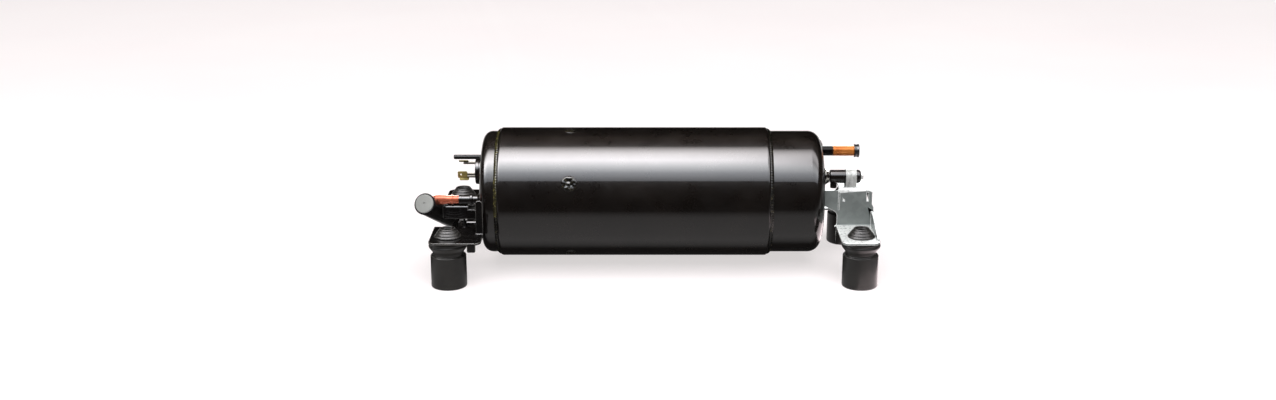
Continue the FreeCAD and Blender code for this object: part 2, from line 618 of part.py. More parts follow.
saddle = new_body("saddle_blank", node=False)
sketch = new_sketch(saddle, "YZ_Plane", f"-{SADDLE_OUT} - saddle_sheet")
outline(sketch, [("-saddle_y - saddle_half", SADDLE_LOW), ("saddle_far - saddle_y", SADDLE_LOW),
                 ("saddle_far - saddle_y", SADDLE_HIGH), ("-saddle_y - saddle_half", SADDLE_HIGH)],
        {0: "small_round", 1: "small_round", 3: "small_round"})
circle(sketch, "-saddle_y", "-saddle_rise", "saddle_stud_radius + saddle_hole_gap")
pad(saddle, sketch, "saddle_sheet")
wall(saddle, "saddle_half - saddle_y",
     [(f"-{SADDLE_OUT}", SADDLE_LOW), (f"-{SADDLE_OUT}", SADDLE_HIGH),
      (f"-{SADDLE_OUT} - saddle_wing", SADDLE_HIGH), (f"-{SADDLE_OUT} - saddle_wing", SADDLE_LOW)],
     sheet="saddle_sheet")
at_terminal(saddle)
tank_clearance = at_tank(rod("tank_clearance", 0, "tank_length", "tank_radius + fit_gap", node=False))
cut("accumulator_saddle", saddle, tank_clearance)

# ---------------------------------------------------------------- discharge line

DISCHARGE = {"y": "discharge_y", "rise": "discharge_rise"}
at_discharge(turned("discharge_boss", ring_points(0, "boss_reach", "boss_radius", "tube_radius + fit_gap"),
                    {2: 1.2}), **DISCHARGE)
at_discharge(tube("discharge_tube", "-cap_wall - 4", "tube_reach", "tube_radius", "tube_radius - tube_wall"),
             **DISCHARGE)
at_discharge(turned("discharge_plug",
                    [("tube_reach - plug_depth", 0),
                     ("tube_reach - plug_depth", "tube_radius - tube_wall - plug_clearance - 0.5"),
                     ("tube_reach + touch_gap", "tube_radius - tube_wall - plug_clearance"),
                     ("tube_reach + touch_gap", "plug_head_radius"),
                     ("tube_reach + plug_head", "plug_head_radius"), ("tube_reach + plug_head", 0)],
                    {3: 0.8, 4: 1}), **DISCHARGE)

# ---------------------------------------------------------------- process tube and its strap

PROCESS = {"y": "-process_y", "rise": "process_rise"}
PROCESS_END = "(process_start + process_length)"
capsule = turned("process_tube",
                 [("-cap_wall - 2", 0), ("-cap_wall - 2", "process_neck_radius"),
                  ("process_start", "process_neck_radius"), ("process_start", "process_radius"),
                  (PROCESS_END, "process_radius"), (PROCESS_END, "nib_radius + 0.6"),
                  (f"{PROCESS_END} - 1.5", "nib_radius + 0.6"), (f"{PROCESS_END} - 1.5", 0)],
                 {3: 0.8, 4: 2.8})
sketch = new_sketch(capsule, "XY_Plane", "-process_branch_reach")
circle(sketch, "process_start + 3.6", 0, "process_branch_radius")
pad(capsule, sketch, "process_branch_reach")
at_discharge(capsule, **PROCESS)
at_discharge(turned("process_collar",
                    ring_points(0.4, "process_start - 0.6", "process_collar_radius",
                                "process_neck_radius + fit_gap"), {1: 0.5, 2: 0.5}), **PROCESS)
at_discharge(turned("process_nib",
                    [(f"{PROCESS_END} - 1.4", 0), (f"{PROCESS_END} - 1.4", "nib_radius + 0.4"),
                     (PROCESS_END + " + 0.4", "nib_radius + 0.4"), (PROCESS_END + " + 0.4", "nib_radius"),
                     (PROCESS_END + " + 2.3", "nib_radius"), (PROCESS_END + " + 2.3", 0)], {4: 1}), **PROCESS)

LEG_TOP = "(axis_height + process_rise - leg_drop)"
strap = new_body("tube_strap")
sketch = new_sketch(strap, "YZ_Plane", "strap_start")
inner = "(process_radius + fit_gap)"
outer = f"({inner} + strap_sheet)"
axis_z = "(axis_height + process_rise)"
foot_end = f"({outer} + strap_foot)"
foot_top = f"({LEG_TOP} + strap_sheet)"
outline(sketch, [(f"-process_y - {outer}", LEG_TOP), (f"-process_y - {outer}", f"{axis_z} + {outer}"),
                 (f"{outer} - process_y", f"{axis_z} + {outer}"), (f"{outer} - process_y", foot_top),
                 (f"{foot_end} - process_y", foot_top), (f"{foot_end} - process_y", LEG_TOP),
                 (f"{inner} - process_y", LEG_TOP), (f"{inner} - process_y", f"{axis_z} + {inner}"),
                 (f"-process_y - {inner}", f"{axis_z} + {inner}"), (f"-process_y - {inner}", LEG_TOP)],
        {1: f"{outer} - 0.1", 2: f"{outer} - 0.1", 7: f"{inner} - 0.1", 8: f"{inner} - 0.1"})
pad(strap, sketch, "strap_width")
SCREW_X = "(strap_start + strap_width / 2)"
SCREW_Y = f"({outer} + strap_foot / 2 - process_y)"


def screw_hole(body, sheet_size):
    """A clearance hole for the strap's screw through a sheet that lies at the leg's top."""
    sketch = new_sketch(body, "XY_Plane", LEG_TOP)
    circle(sketch, SCREW_X, SCREW_Y, "strap_bore")
    pocket(body, sketch, f"{sheet_size} * 3", midplane=True)


screw_hole(strap, "strap_sheet")
place(strap, DISCHARGE_FACE, 0, 0)

# ---------------------------------------------------------------- discharge end bracket

LEG_END = "(leg_start + leg_width)"
WEB_TOP = f"({LEG_TOP} - web_drop)"
WEB_LOW = "(axis_height - web_depth)"
bracket = new_body("discharge_end_bracket")
sketch = new_sketch(bracket, "YZ_Plane")
outline(sketch, [("-leg_y", WEB_LOW), ("-leg_y", WEB_TOP), ("leg_y", WEB_TOP), ("leg_y", "plate_height"),
                 ("leg_y - web_foot", "plate_height"), (0, "plate_height + web_arch")],
        {1: "small_round", 2: "web_corner"})
pad(bracket, sketch, SHEET)
wall(bracket, "-leg_y",
     [(0, WEB_TOP), ("leg_start - leg_splay", WEB_TOP), ("leg_start", LEG_TOP), (LEG_END, LEG_TOP),
      (LEG_END, f"{LEG_TOP} - leg_hip"), (f"{LEG_END} + leg_splay", f"{LEG_TOP} - leg_knee"),
      (f"{LEG_END} + leg_splay", "plate_height"), ("leg_start - leg_splay", "plate_height"),
      ("leg_start - leg_splay", "plate_height + leg_toe"), (0, WEB_LOW)], {8: "leg_toe_round"})
sketch = new_sketch(bracket, "XY_Plane", f"{LEG_TOP} - {SHEET}")
outline(sketch, [("leg_start", "-leg_y"), (LEG_END, "-leg_y"), (LEG_END, "leg_flange - leg_y"),
                 ("leg_start", "leg_flange - leg_y")], {2: "wall_round", 3: "wall_round"})
pad(bracket, sketch, SHEET)
screw_hole(bracket, SHEET)
for edge in ("leg_start", f"{LEG_END} - {SHEET}"):
    sketch = new_sketch(bracket, "YZ_Plane", edge)
    outline(sketch, [(f"{SHEET} / 2 - leg_y", f"{LEG_TOP} - ear_depth"),
                     ("ear_reach - leg_y", f"{LEG_TOP} - ear_low"),
                     ("ear_reach - leg_y", f"{LEG_TOP} - ear_high"),
                     (f"{SHEET} / 2 - leg_y", f"{LEG_TOP} - ear_high")])
    pad(bracket, sketch, SHEET)
sketch = new_sketch(bracket, "XZ_Plane", "leg_y + 1")
for edge in ("leg_start + slot_edge", f"{LEG_END} - slot_far_edge"):
    outline(sketch, [(edge, f"{LEG_TOP} - slot_low"), (f"{edge} + slot_gap", f"{LEG_TOP} - slot_low"),
                     (f"{edge} + slot_gap", f"{LEG_TOP} - slot_high"), (edge, f"{LEG_TOP} - slot_high")])
pocket(bracket, sketch, f"{SHEET} + 2")
PLATE_FAR = "(discharge_foot_reach + foot_back)"
foot_plate(bracket, True, "discharge_foot_reach - foot_front", PLATE_FAR, "plate_lap - leg_y",
           "discharge_foot_reach")
foot_plate(bracket, False, 0, PLATE_FAR, "leg_y - web_foot", "discharge_foot_reach")
GUSSET_FRONT = "(plate_corner - foot_spacing_y / 2 - plate_edge)"
GUSSET_LOW = "(plate_height + gusset_root)"
sketch = new_sketch(bracket, "YZ_Plane", f"{PLATE_FAR} - plate_sheet")
outline(sketch, [("plate_lap - leg_y", GUSSET_LOW), ("plate_lap - leg_y", f"{PLATE_TOP} + gusset_height"),
                 ("-leg_y - gusset_run", f"{PLATE_TOP} + gusset_height - gusset_slope"),
                 (GUSSET_FRONT, f"{PLATE_TOP} + gusset_low"), (GUSSET_FRONT, GUSSET_LOW)],
        {2: "gusset_round"})
pad(bracket, sketch, "plate_sheet")
place(bracket, DISCHARGE_FACE, 0, 0)

HEAD_START = "(strap_sheet + touch_gap)"
HEAD_END = "(strap_sheet + screw_head)"
screw = turned("strap_screw",
               [("-screw_depth", 0), ("-screw_depth", "screw_radius"), (HEAD_START, "screw_radius"),
                (HEAD_START, "screw_head_radius"), (HEAD_END, "screw_head_radius"), (HEAD_END, 0)], {4: 1})
place(screw, f"{DISCHARGE_FACE} + {SCREW_X}", SCREW_Y, LEG_TOP, pitch=-90)

# ---------------------------------------------------------------- rubber feet


def foot(name, x, side):
    """A rubber grommet: post, bead under the plate, neck through its hole, ribbed dome on top."""
    under = "(plate_height - 0.05)"
    top = f"({PLATE_TOP} + 0.05)"
    body = new_body(name)
    turn(body, [("foot_bore", 0), ("foot_radius", 0), ("foot_radius", "foot_height"),
                ("foot_radius - 2.5", "foot_height + 0.8"), ("foot_radius - 2.5", "foot_height + 2"),
                ("bead_radius", f"{under} - 5"), ("bead_radius", under), ("neck_radius", under),
                ("neck_radius", top), ("dome_radius", top),
                ("dome_radius - 0.5", f"{top} + dome_height * 0.3"),
                ("dome_radius - 2", f"{top} + dome_height * 0.34"),
                ("dome_radius - 3", f"{top} + dome_height * 0.62"),
                ("dome_radius - 4.2", f"{top} + dome_height * 0.66"),
                ("dome_top_radius", f"{top} + dome_height"),
                ("foot_bore", f"{top} + dome_height")],
         {1: 1.5, 2: 1, 5: 2.5, 6: 1.5, 9: 0.6, 10: 0.6}, axis="V_Axis")
    return place(body, x, f"{side} * foot_spacing_y / 2", 0)


for end, x in (("terminal", f"-{FOOT_X}"), ("discharge", FOOT_X)):
    foot(f"{end}_near_foot", x, -1)
    foot(f"{end}_far_foot", x, 1)

# ---------------------------------------------------------------- pump
# The pump's own frame has its vane straight up; the whole pump is rolled about the shaft.

HALF = "(cylinder_height / 2)"

SUCTION_ANGLE = "(180 - atan(suction_rise / suction_y) / 1deg - pump_roll)"
SUCTION_CIRCLE = "sqrt(suction_y * suction_y + suction_rise * suction_rise)"
BOLT_ANGLES = (30, 150, 210, 270, 330)
ROLLER_OUTER = "(cylinder_bore - eccentricity - roller_gap)"
MAIN_FACE = f"({HALF} + main_flange)"
SUB_FACE = f"({HALF} + sub_flange)"


def bolt_holes(body, radius, length):
    sketch = new_sketch(body, "YZ_Plane")
    for degrees in BOLT_ANGLES:
        circle(sketch, *on_circle("pump_bolt_circle", degrees), radius)
    pocket(body, sketch, length, midplane=True)


cylinder = tube("pump_cylinder", f"-{HALF}", HALF, CAP_RADIUS, "cylinder_bore")
sketch = new_sketch(cylinder, "YZ_Plane")
half_slot = "(vane_sheet / 2 + side_gap)"
outline(sketch, [(f"-{half_slot}", "cylinder_bore * 0.9"), (half_slot, "cylinder_bore * 0.9"),
                 (half_slot, "vane_depth"), (f"-{half_slot}", "vane_depth")])
pocket(cylinder, sketch, "cylinder_height * 2", midplane=True)
sketch = new_sketch(cylinder, "XY_Plane", "vane_depth - 2")
circle(sketch, 0, 0, "spring_hole")
pocket(cylinder, sketch, "shell_diameter", backwards=True)
bolt_holes(cylinder, "pump_bolt_radius + fit_gap", "cylinder_height * 2")
sketch = new_sketch(cylinder, "YZ_Plane", f"-{HALF}")
circle(sketch, *on_circle(SUCTION_CIRCLE, SUCTION_ANGLE), "suction_stub_radius + fit_gap")
pocket(cylinder, sketch, f"{HALF} + suction_bore", backwards=True)
GAS_ANGLES = (130, 190, 250, 333)
GAS_CIRCLE = f"((cylinder_bore + {CAP_RADIUS}) / 2 + gas_hole_shift)"
sketch = new_sketch(cylinder, "YZ_Plane")
for degrees in GAS_ANGLES:
    circle(sketch, *on_circle(GAS_CIRCLE, degrees), "gas_hole_radius")
pocket(cylinder, sketch, "cylinder_height * 2", midplane=True)
at_pump(cylinder)

main_bearing = turned("main_bearing",
                      [(HALF, "shaft_radius + bearing_gap"), (HALF, "main_flange_radius"),
                       (MAIN_FACE, "main_flange_radius"), (MAIN_FACE, "hub_radius"),
                       (f"{MAIN_FACE} + main_hub", "hub_radius"),
                       (f"{MAIN_FACE} + main_hub", "shaft_radius + bearing_gap")], {2: 1, 3: 2, 4: 1})
sketch = new_sketch(main_bearing, "YZ_Plane")
for degrees in BOLT_ANGLES:
    circle(sketch, *on_circle("pump_bolt_circle", degrees), "pump_bolt_radius + fit_gap")
circle(sketch, *on_circle("port_circle", 112), "port_radius")
pocket(main_bearing, sketch, f"{MAIN_FACE} * 3", midplane=True)
at_pump(main_bearing)

sub_bearing = turned("sub_bearing",
                     [(f"-{HALF}", "shaft_radius + bearing_gap"), (f"-{HALF}", "sub_flange_radius"),
                      (f"-{SUB_FACE}", "sub_flange_radius"), (f"-{SUB_FACE}", "sub_hub_radius"),
                      (f"-{SUB_FACE} - sub_hub", "sub_hub_radius"),
                      (f"-{SUB_FACE} - sub_hub", "shaft_radius + bearing_gap")], {2: 1, 3: 2, 4: 1})
bolt_holes(sub_bearing, "pump_bolt_radius + fit_gap", f"{SUB_FACE} * 3")
at_pump(sub_bearing)


def pump_bolt(name, degrees):
    bolt = rod(name, f"-{SUB_FACE} - bolt_head / 2", f"{MAIN_FACE} - 1", "pump_bolt_radius", node=False)
    sketch = new_sketch(bolt, "YZ_Plane", f"-{SUB_FACE} - touch_gap")
    hexagon(sketch, "bolt_head_radius")
    pad(bolt, sketch, "bolt_head", backwards=True)
    y, rise = on_circle("pump_bolt_circle", degrees)
    return place(bolt, PUMP_X, *world_of(y, rise), roll="pump_roll")


def world_of(y, rise):
    """A point of the pump's rolled frame as world Y and Z expressions."""
    return (f"({y}) * cos(pump_roll) - ({rise}) * sin(pump_roll)",
            f"axis_height + ({y}) * sin(pump_roll) + ({rise}) * cos(pump_roll)")


group("pump_bolts", [pump_bolt(f"pump_bolt_{n}", degrees) for n, degrees in enumerate(BOLT_ANGLES, 1)])

vane = new_body("vane")
sketch = new_sketch(vane, "YZ_Plane")
outline(sketch, [("-vane_sheet / 2", "cylinder_bore + 0.05"), ("vane_sheet / 2", "cylinder_bore + 0.05"),
                 ("vane_sheet / 2", "cylinder_bore + vane_length"),
                 ("-vane_sheet / 2", "cylinder_bore + vane_length")], {0: 1.2, 1: 1.2})
pad(vane, sketch, "cylinder_height - side_gap * 2", midplane=True)
at_pump(vane)

spring_start = value("cylinder_bore + vane_length + spring_wire + touch_gap")
spring_length = value(f"{SHELL_BORE} - spring_wire - 0.2") - spring_start
coil_radius = value("spring_radius - spring_wire")
SPRING_TURNS = 4
TURN_POINTS = 12  # straight runs in each turn of the wire
steps = SPRING_TURNS * TURN_POINTS
coil = [FreeCAD.Vector(coil_radius * math.cos(n * math.tau / TURN_POINTS),
                       coil_radius * math.sin(n * math.tau / TURN_POINTS),
                       spring_start + spring_length * n / steps) for n in range(steps + 1)]
section = Part.Wire(Part.makeCircle(value("spring_wire"), coil[0], coil[1] - coil[0]))
spring = doc.addObject("Part::Feature", "vane_spring")
spring.Label = "vane_spring"
spring.Shape = Part.makePolygon(coil).makePipeShell([section], True, False, 1)
nodes.append(at_pump(spring))

REED_Y, REED_Z = on_circle("port_circle", 112)


def reed_outline(sketch):
    half = "(reed_width / 2)"
    outline(sketch, [(f"{REED_Y} + {half}", f"{REED_Z} - {half}"),
                     (f"{REED_Y} + {half}", f"{REED_Z} + {half}"),
                     (f"{REED_Y} - reed_length - {half}", f"{REED_Z} + {half}"),
                     (f"{REED_Y} - reed_length - {half}", f"{REED_Z} - {half}")],
            {0: f"{half} - 0.05", 1: f"{half} - 0.05", 2: f"{half} - 0.05", 3: f"{half} - 0.05"})


for name, start, sheet_size in (("discharge_reed", "touch_gap", "reed_sheet"),
                                ("valve_stop", "touch_gap * 2 + reed_sheet", "stop_sheet")):
    body = new_body(name)
    sketch = new_sketch(body, "YZ_Plane", f"{MAIN_FACE} + {start}")
    reed_outline(sketch)
    circle(sketch, f"{REED_Y} - reed_length", REED_Z, "port_radius * 0.6 + fit_gap")
    pad(body, sketch, sheet_size)
    at_pump(body)
rivet = rod("valve_rivet", "0", "reed_sheet + stop_sheet + 1", "port_radius * 0.6")
place(rivet, f"{PUMP_X} + {MAIN_FACE}", *world_of(f"{REED_Y} - reed_length", REED_Z))

COVER = f"({MAIN_FACE} + touch_gap)"
muffler = turned("muffler_cover",
                 [(COVER, "muffler_radius"), (f"{COVER} + muffler_height", "muffler_radius"),
                  (f"{COVER} + muffler_height", "hub_radius + 0.6"),
                  (f"{COVER} + muffler_height - muffler_sheet", "hub_radius + 0.6"),
                  (f"{COVER} + muffler_height - muffler_sheet", "muffler_radius - muffler_sheet"),
                  (COVER, "muffler_radius - muffler_sheet")], {1: 4, 4: 3})
sketch = new_sketch(muffler, "YZ_Plane", f"{COVER} + muffler_height / 2")
for degrees in (30, 210):
    circle(sketch, *on_circle("(muffler_radius * 0.66)", degrees), 3)
pocket(muffler, sketch, "muffler_height", backwards=True)
at_pump(muffler)

SUCTION_PIPE_END = f"({BARREL_START} + pump_setback - {HALF} * 0.3 - {TERMINAL_FACE})"
at_terminal(tube("inner_suction_pipe", "cap_wall + 2 + fit_gap", SUCTION_PIPE_END,
                 "suction_stub_radius - 0.02", "suction_stub_radius - suction_stub_wall"),
            y="-suction_y", rise="suction_rise")

SUB_END = f"({SUB_FACE} + sub_hub)"
cover = rod("oil_cover", f"-{SUB_END} - oil_cover", f"-{SUB_END} - touch_gap", "sub_hub_radius")
sketch = new_sketch(cover, "YZ_Plane")
circle(sketch, 0, 0, "oil_pipe_radius + fit_gap")
pocket(cover, sketch, f"{SUB_END} * 3", midplane=True)
at_pump(cover)
oil_pipe = bent_pipe("oil_pickup_pipe", [(0, 0), ("oil_pipe_bend + oil_cover + 2", 0),
                                         ("oil_pipe_bend + oil_cover + 2", "oil_pipe_drop")],
                     "oil_pipe_bend", "oil_pipe_radius", "oil_pipe_radius - oil_pipe_wall")
place(oil_pipe, f"{PUMP_X} - {SUB_END} - 1", 0, "axis_height", yaw=180, roll=-90)

# ---------------------------------------------------------------- rotating pieces

ROTOR_START = "(-rotor_length / 2)"
ROTOR_END = "(rotor_length / 2)"
CRANK_START = f"({PUMP_X} - {SUB_END} + 2)"
crank = rod("crankshaft", f"{CRANK_START} - {PUMP_X}", f"{MOTOR_X} + {ROTOR_END} + end_plate + 4 - {PUMP_X}",
            "shaft_radius")
sketch = new_sketch(crank, "YZ_Plane")
circle(sketch, 0, "eccentricity", "eccentric_radius")
pad(crank, sketch, "cylinder_height - side_gap * 4", midplane=True)
sketch = new_sketch(crank, "YZ_Plane", f"{CRANK_START} - {PUMP_X} - 1")
circle(sketch, 0, 0, "shaft_radius * 0.33")
pocket(crank, sketch, f"{SUB_END} + {MAIN_FACE} + main_hub", backwards=True)
at_pump(crank)

roller = tube("roller", f"-{HALF} + side_gap", f"{HALF} - side_gap", ROLLER_OUTER,
              "eccentric_radius + bearing_gap")
place(roller, PUMP_X, *world_of("0", "eccentricity"))

ROTOR_RADIUS = "(stator_bore - air_gap)"
rotor = tube("rotor_core", ROTOR_START, ROTOR_END, ROTOR_RADIUS, "shaft_radius + touch_gap")
MAGNET_SLOT = [("-magnet_width / 2", "magnet_distance"), ("magnet_width / 2", "magnet_distance"),
               ("magnet_width / 2", "magnet_distance + magnet_sheet"),
               ("-magnet_width / 2", "magnet_distance + magnet_sheet")]
sketch = new_sketch(rotor, "YZ_Plane")
outline(sketch, MAGNET_SLOT)
slot = pocket(rotor, sketch, "rotor_length * 2", midplane=True)
polar(rotor, slot, 6)
sketch = new_sketch(rotor, "YZ_Plane")
for n in range(3):
    circle(sketch, *on_circle("rivet_circle", 120 * n + 30), "rivet_radius + touch_gap")
pocket(rotor, sketch, "rotor_length * 2", midplane=True)
at_motor(rotor)


def magnet(name, degrees):
    body = new_body(name, node=False)
    sketch = new_sketch(body, "YZ_Plane")
    outline(sketch, [("-magnet_width / 2 + 0.05", "magnet_distance + 0.05"),
                     ("magnet_width / 2 - 0.05", "magnet_distance + 0.05"),
                     ("magnet_width / 2 - 0.05", "magnet_distance + magnet_sheet - 0.05"),
                     ("-magnet_width / 2 + 0.05", "magnet_distance + magnet_sheet - 0.05")])
    pad(body, sketch, "rotor_length - 1", midplane=True)
    return place(body, MOTOR_X, 0, "axis_height", roll=degrees)


group("rotor_magnets", [magnet(f"rotor_magnet_{n}", 60 * n) for n in range(6)])


def end_ring(name, start):
    body = tube(name, start, f"{start} + end_plate", f"{ROTOR_RADIUS} - 0.5", "shaft_radius + touch_gap",
                node=False)
    sketch = new_sketch(body, "YZ_Plane")
    for n in range(3):
        circle(sketch, *on_circle("rivet_circle", 120 * n + 30), "rivet_radius + touch_gap")
    pocket(body, sketch, "rotor_length * 3", midplane=True)
    return at_motor(body)


group("rotor_end_plates", [end_ring("rotor_plate_pump", f"{ROTOR_START} - end_plate - touch_gap"),
                           end_ring("rotor_plate_far", f"{ROTOR_END} + touch_gap")])


def rivet_rod(name, n):
    reach = "(rotor_length / 2 + end_plate + 0.5)"
    y, rise = on_circle("rivet_circle", 120 * n + 30)
    bar = rod(name, f"-{reach}", reach, "rivet_radius", node=False)
    return place(bar, MOTOR_X, y, f"axis_height + {rise}")


group("rotor_rivets", [rivet_rod(f"rotor_rivet_{n}", n) for n in range(3)])


def balance_weight(name, start, height, up):
    """A half ring fixed to the rotor's end plate, opposite the eccentric or beside it."""
    body = new_body(name)
    turn(body, ring_points(start, f"{start} + {height}", "weight_outer", "weight_inner + 4.5"))
    sketch = new_sketch(body, "YZ_Plane")
    side = 1 if up else -1
    reach = "shell_diameter"
    outline(sketch, [(f"-{reach}", f"-{side} * {reach}"), (reach, f"-{side} * {reach}"), (reach, 0),
                     (f"-{reach}", 0)])
    pocket(body, sketch, "rotor_length * 4", midplane=True)
    return place(body, MOTOR_X, 0, "axis_height", roll="pump_roll")


balance_weight("balance_weight_pump", f"{ROTOR_START} - end_plate - weight_height - touch_gap * 2",
               "weight_height", False)
balance_weight("balance_weight_far", f"{ROTOR_END} + end_plate + touch_gap * 2", "weight_height * 0.6", True)

# ---------------------------------------------------------------- stator

STACK = "(stack_length / 2)"
SLOTS = 12
stator = tube("stator_core", f"-{STACK}", STACK, CAP_RADIUS, "stator_bore")
SLOT_IN = "(stator_bore + 3)"
sketch = new_sketch(stator, "YZ_Plane")
outline(sketch, [("-slot_width / 2", SLOT_IN), ("slot_width / 2", SLOT_IN),
                 ("slot_width / 2 + 2", f"{SLOT_IN} + slot_depth"),
                 ("-slot_width / 2 - 2", f"{SLOT_IN} + slot_depth")], {0: 1, 1: 1, 2: 2, 3: 2})
slot = pocket(stator, sketch, "stack_length * 2", midplane=True)
polar(stator, slot, SLOTS)
sketch = new_sketch(stator, "YZ_Plane")
outline(sketch, [("-1.2", "stator_bore - 2"), ("1.2", "stator_bore - 2"), ("1.2", f"{SLOT_IN} + 1"),
                 ("-1.2", f"{SLOT_IN} + 1")])
mouth = pocket(stator, sketch, "stack_length * 2", midplane=True)
polar(stator, mouth, SLOTS)
at_motor(stator)

winding = new_body("stator_windings")
turn(winding, ring_points(f"-{STACK} - winding_reach", f"-{STACK} - 1", "winding_outer",
                          "winding_inner + 0.8"), {1: 5, 2: 2, 0: 4, 3: 2})
sketch = new_sketch(winding, "YZ_Plane", f"-{STACK} - 4")
outline(sketch, [("-slot_width / 2 + 0.3", f"{SLOT_IN} + 0.5"), ("slot_width / 2 - 0.3", f"{SLOT_IN} + 0.5"),
                 ("slot_width / 2 + 1.6", f"{SLOT_IN} + slot_depth - 0.4"),
                 ("-slot_width / 2 - 1.6", f"{SLOT_IN} + slot_depth - 0.4")], {0: 1, 1: 1, 2: 2, 3: 2})
bar = pad(winding, sketch, "stack_length + 8")
polar(winding, bar, SLOTS)
turn(winding, ring_points(f"{STACK} + 1", f"{STACK} + winding_reach", "winding_outer", "winding_inner + 0.8"),
     {0: 2, 1: 2, 2: 5, 3: 4})
at_motor(winding)

# ---------------------------------------------------------------- motor leads

CONNECTOR_START = "(terminal_depth * 0.2 + 2)"
connector = rod("lead_connector", CONNECTOR_START, f"{CONNECTOR_START} + connector_length",
                "connector_radius")
sketch = new_sketch(connector, "YZ_Plane", CONNECTOR_START)
for degrees in PIN_ANGLES:
    circle(sketch, *on_circle("pin_circle", degrees), "pin_radius + 0.2")
pocket(connector, sketch, "pin_inner_reach", backwards=True)
at_terminal(connector, rise="terminal_rise")

LEADS_START = f"({CONNECTOR_START} + connector_length + touch_gap)"
LEADS_RUN = f"({PUMP_X} - {TERMINAL_FACE} - {LEADS_START})"
WINDING_START = f"({MOTOR_X} - {STACK} - winding_reach - {TERMINAL_FACE} - {LEADS_START})"


def lead(name, y):
    """One motor lead: out of the connector, up through the pump's gas hole and on to the windings."""
    rise = f"({GAS_CIRCLE} - lead_drop - terminal_rise)"
    wire = bent_pipe(name, [(0, 0), (f"{LEADS_RUN} * 0.22", 0), (f"{LEADS_RUN} * 0.6", rise),
                            (f"{WINDING_START} - 0.3", rise)], "lead_bend", "lead_radius", node=False)
    return at_terminal(wire, x=LEADS_START, y=y, rise="terminal_rise", roll=90)


group("motor_leads", [lead(f"motor_lead_{n}", f"{n - 2} * lead_radius * 2.2") for n in (1, 2, 3)])

# ---------------------------------------------------------------- check and write

doc.recompute()
for item in doc.Objects:
    if "Invalid" in item.State or "Error" in item.State:
        raise RuntimeError(f"{item.Name} did not build: {item.State}")
for node in nodes:
    shape = node.Shape
    if shape.isNull() or not shape.isValid() or not shape.Solids:
        raise RuntimeError(f"{node.Label} has no valid solid")
for node in nodes:
    node.Shape.exportStep(f"parts/{node.Label}.step")
    print(node.Label, len(node.Shape.Solids), round(node.Shape.Volume))
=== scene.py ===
# %% [markdown]
# # A hermetic rotary compressor, dressed for its portrait
# This lesson adds what CAD leaves out: rolled edges, weld beads, paint, plating, rubber and copper, and
# the light that shows them. Everything is in metres, X runs along the shell and Z is up.

# %% Load the frame
import bmesh
import bpy
import math
from mathutils import Matrix, Vector
from mathutils import noise as soft_noise


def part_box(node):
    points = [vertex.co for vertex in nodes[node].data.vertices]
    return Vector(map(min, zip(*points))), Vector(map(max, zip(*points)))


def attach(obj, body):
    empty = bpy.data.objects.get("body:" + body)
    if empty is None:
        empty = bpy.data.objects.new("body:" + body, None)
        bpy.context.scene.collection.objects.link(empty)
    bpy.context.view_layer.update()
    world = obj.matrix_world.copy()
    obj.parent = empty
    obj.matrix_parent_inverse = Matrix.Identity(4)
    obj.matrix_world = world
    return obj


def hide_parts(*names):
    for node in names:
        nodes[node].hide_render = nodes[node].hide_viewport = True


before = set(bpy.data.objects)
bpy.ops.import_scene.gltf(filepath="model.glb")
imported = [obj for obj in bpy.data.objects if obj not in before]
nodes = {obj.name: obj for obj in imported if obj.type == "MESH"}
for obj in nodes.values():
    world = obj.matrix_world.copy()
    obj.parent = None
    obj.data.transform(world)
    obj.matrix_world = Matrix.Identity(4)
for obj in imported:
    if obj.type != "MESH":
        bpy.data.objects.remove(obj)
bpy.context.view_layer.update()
MM = 0.001

# %% [markdown]
# ## Camera and floor
# A product portrait is taken from a little above with a longish lens, so that the shell's two ends stay
# almost the same size. The camera looks at a point just under the shell's axis. A small shift of the lens
# frames the object without turning the camera, which would tilt the upright edges.

# %% Aim the camera
shell_low, shell_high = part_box("shell_barrel")
shell_radius = (shell_high.z - shell_low.z) / 2
shell_axis = Vector(((shell_low.x + shell_high.x) / 2, 0, (shell_low.z + shell_high.z) / 2))

ELEVATION = math.radians(16.4)
DISTANCE = 1.515
AIM_X, AIM_DROP = -6.2 * MM, 8.6 * MM
aim = Vector((AIM_X, 0, shell_axis.z - AIM_DROP))

lens = bpy.data.cameras.new("portrait_camera")
lens.lens = 46.55
lens.sensor_width = 36
lens.shift_x = -0.00745
lens.clip_end = 50
camera = bpy.data.objects.new("portrait_camera", lens)
bpy.context.scene.collection.objects.link(camera)
camera.location = aim + Vector((0, -math.cos(ELEVATION), math.sin(ELEVATION))) * DISTANCE
camera.rotation_euler = (math.pi / 2 - ELEVATION, 0, 0)
bpy.context.scene.camera = camera
bpy.context.scene.view_settings.view_transform = "Standard"
print("camera at", [round(value, 3) for value in camera.location])

# %% [markdown]
# Materials are made from nodes. A few small helpers keep the cells short: one starts a material and returns
# its node tree, its Principled shader and its Object coordinates, one adds a node and wires it, and the
# others give what most finishes need: a noise that stays fixed to the piece, a mix, a ramp and a bump.
# Colours are written as the sRGB numbers that a paint card gives, and Blender works in linear light, so
# they are converted once.

# %% Node helpers
def linear(colour):
    """A 0-255 sRGB colour as the linear RGBA that shaders use."""
    parts = [part / 255 for part in colour]
    return [part / 12.92 if part <= 0.04045 else ((part + 0.055) / 1.055) ** 2.4 for part in parts] + [1.0]


def start_material(name):
    """A new material with its tree, its Principled shader and its Object coordinates."""
    material = bpy.data.materials.new(name)
    material.use_nodes = True
    tree = material.node_tree
    shader = tree.nodes["Principled BSDF"]
    coordinates = tree.nodes.new("ShaderNodeTexCoord")
    return material, tree, shader, coordinates.outputs["Object"]


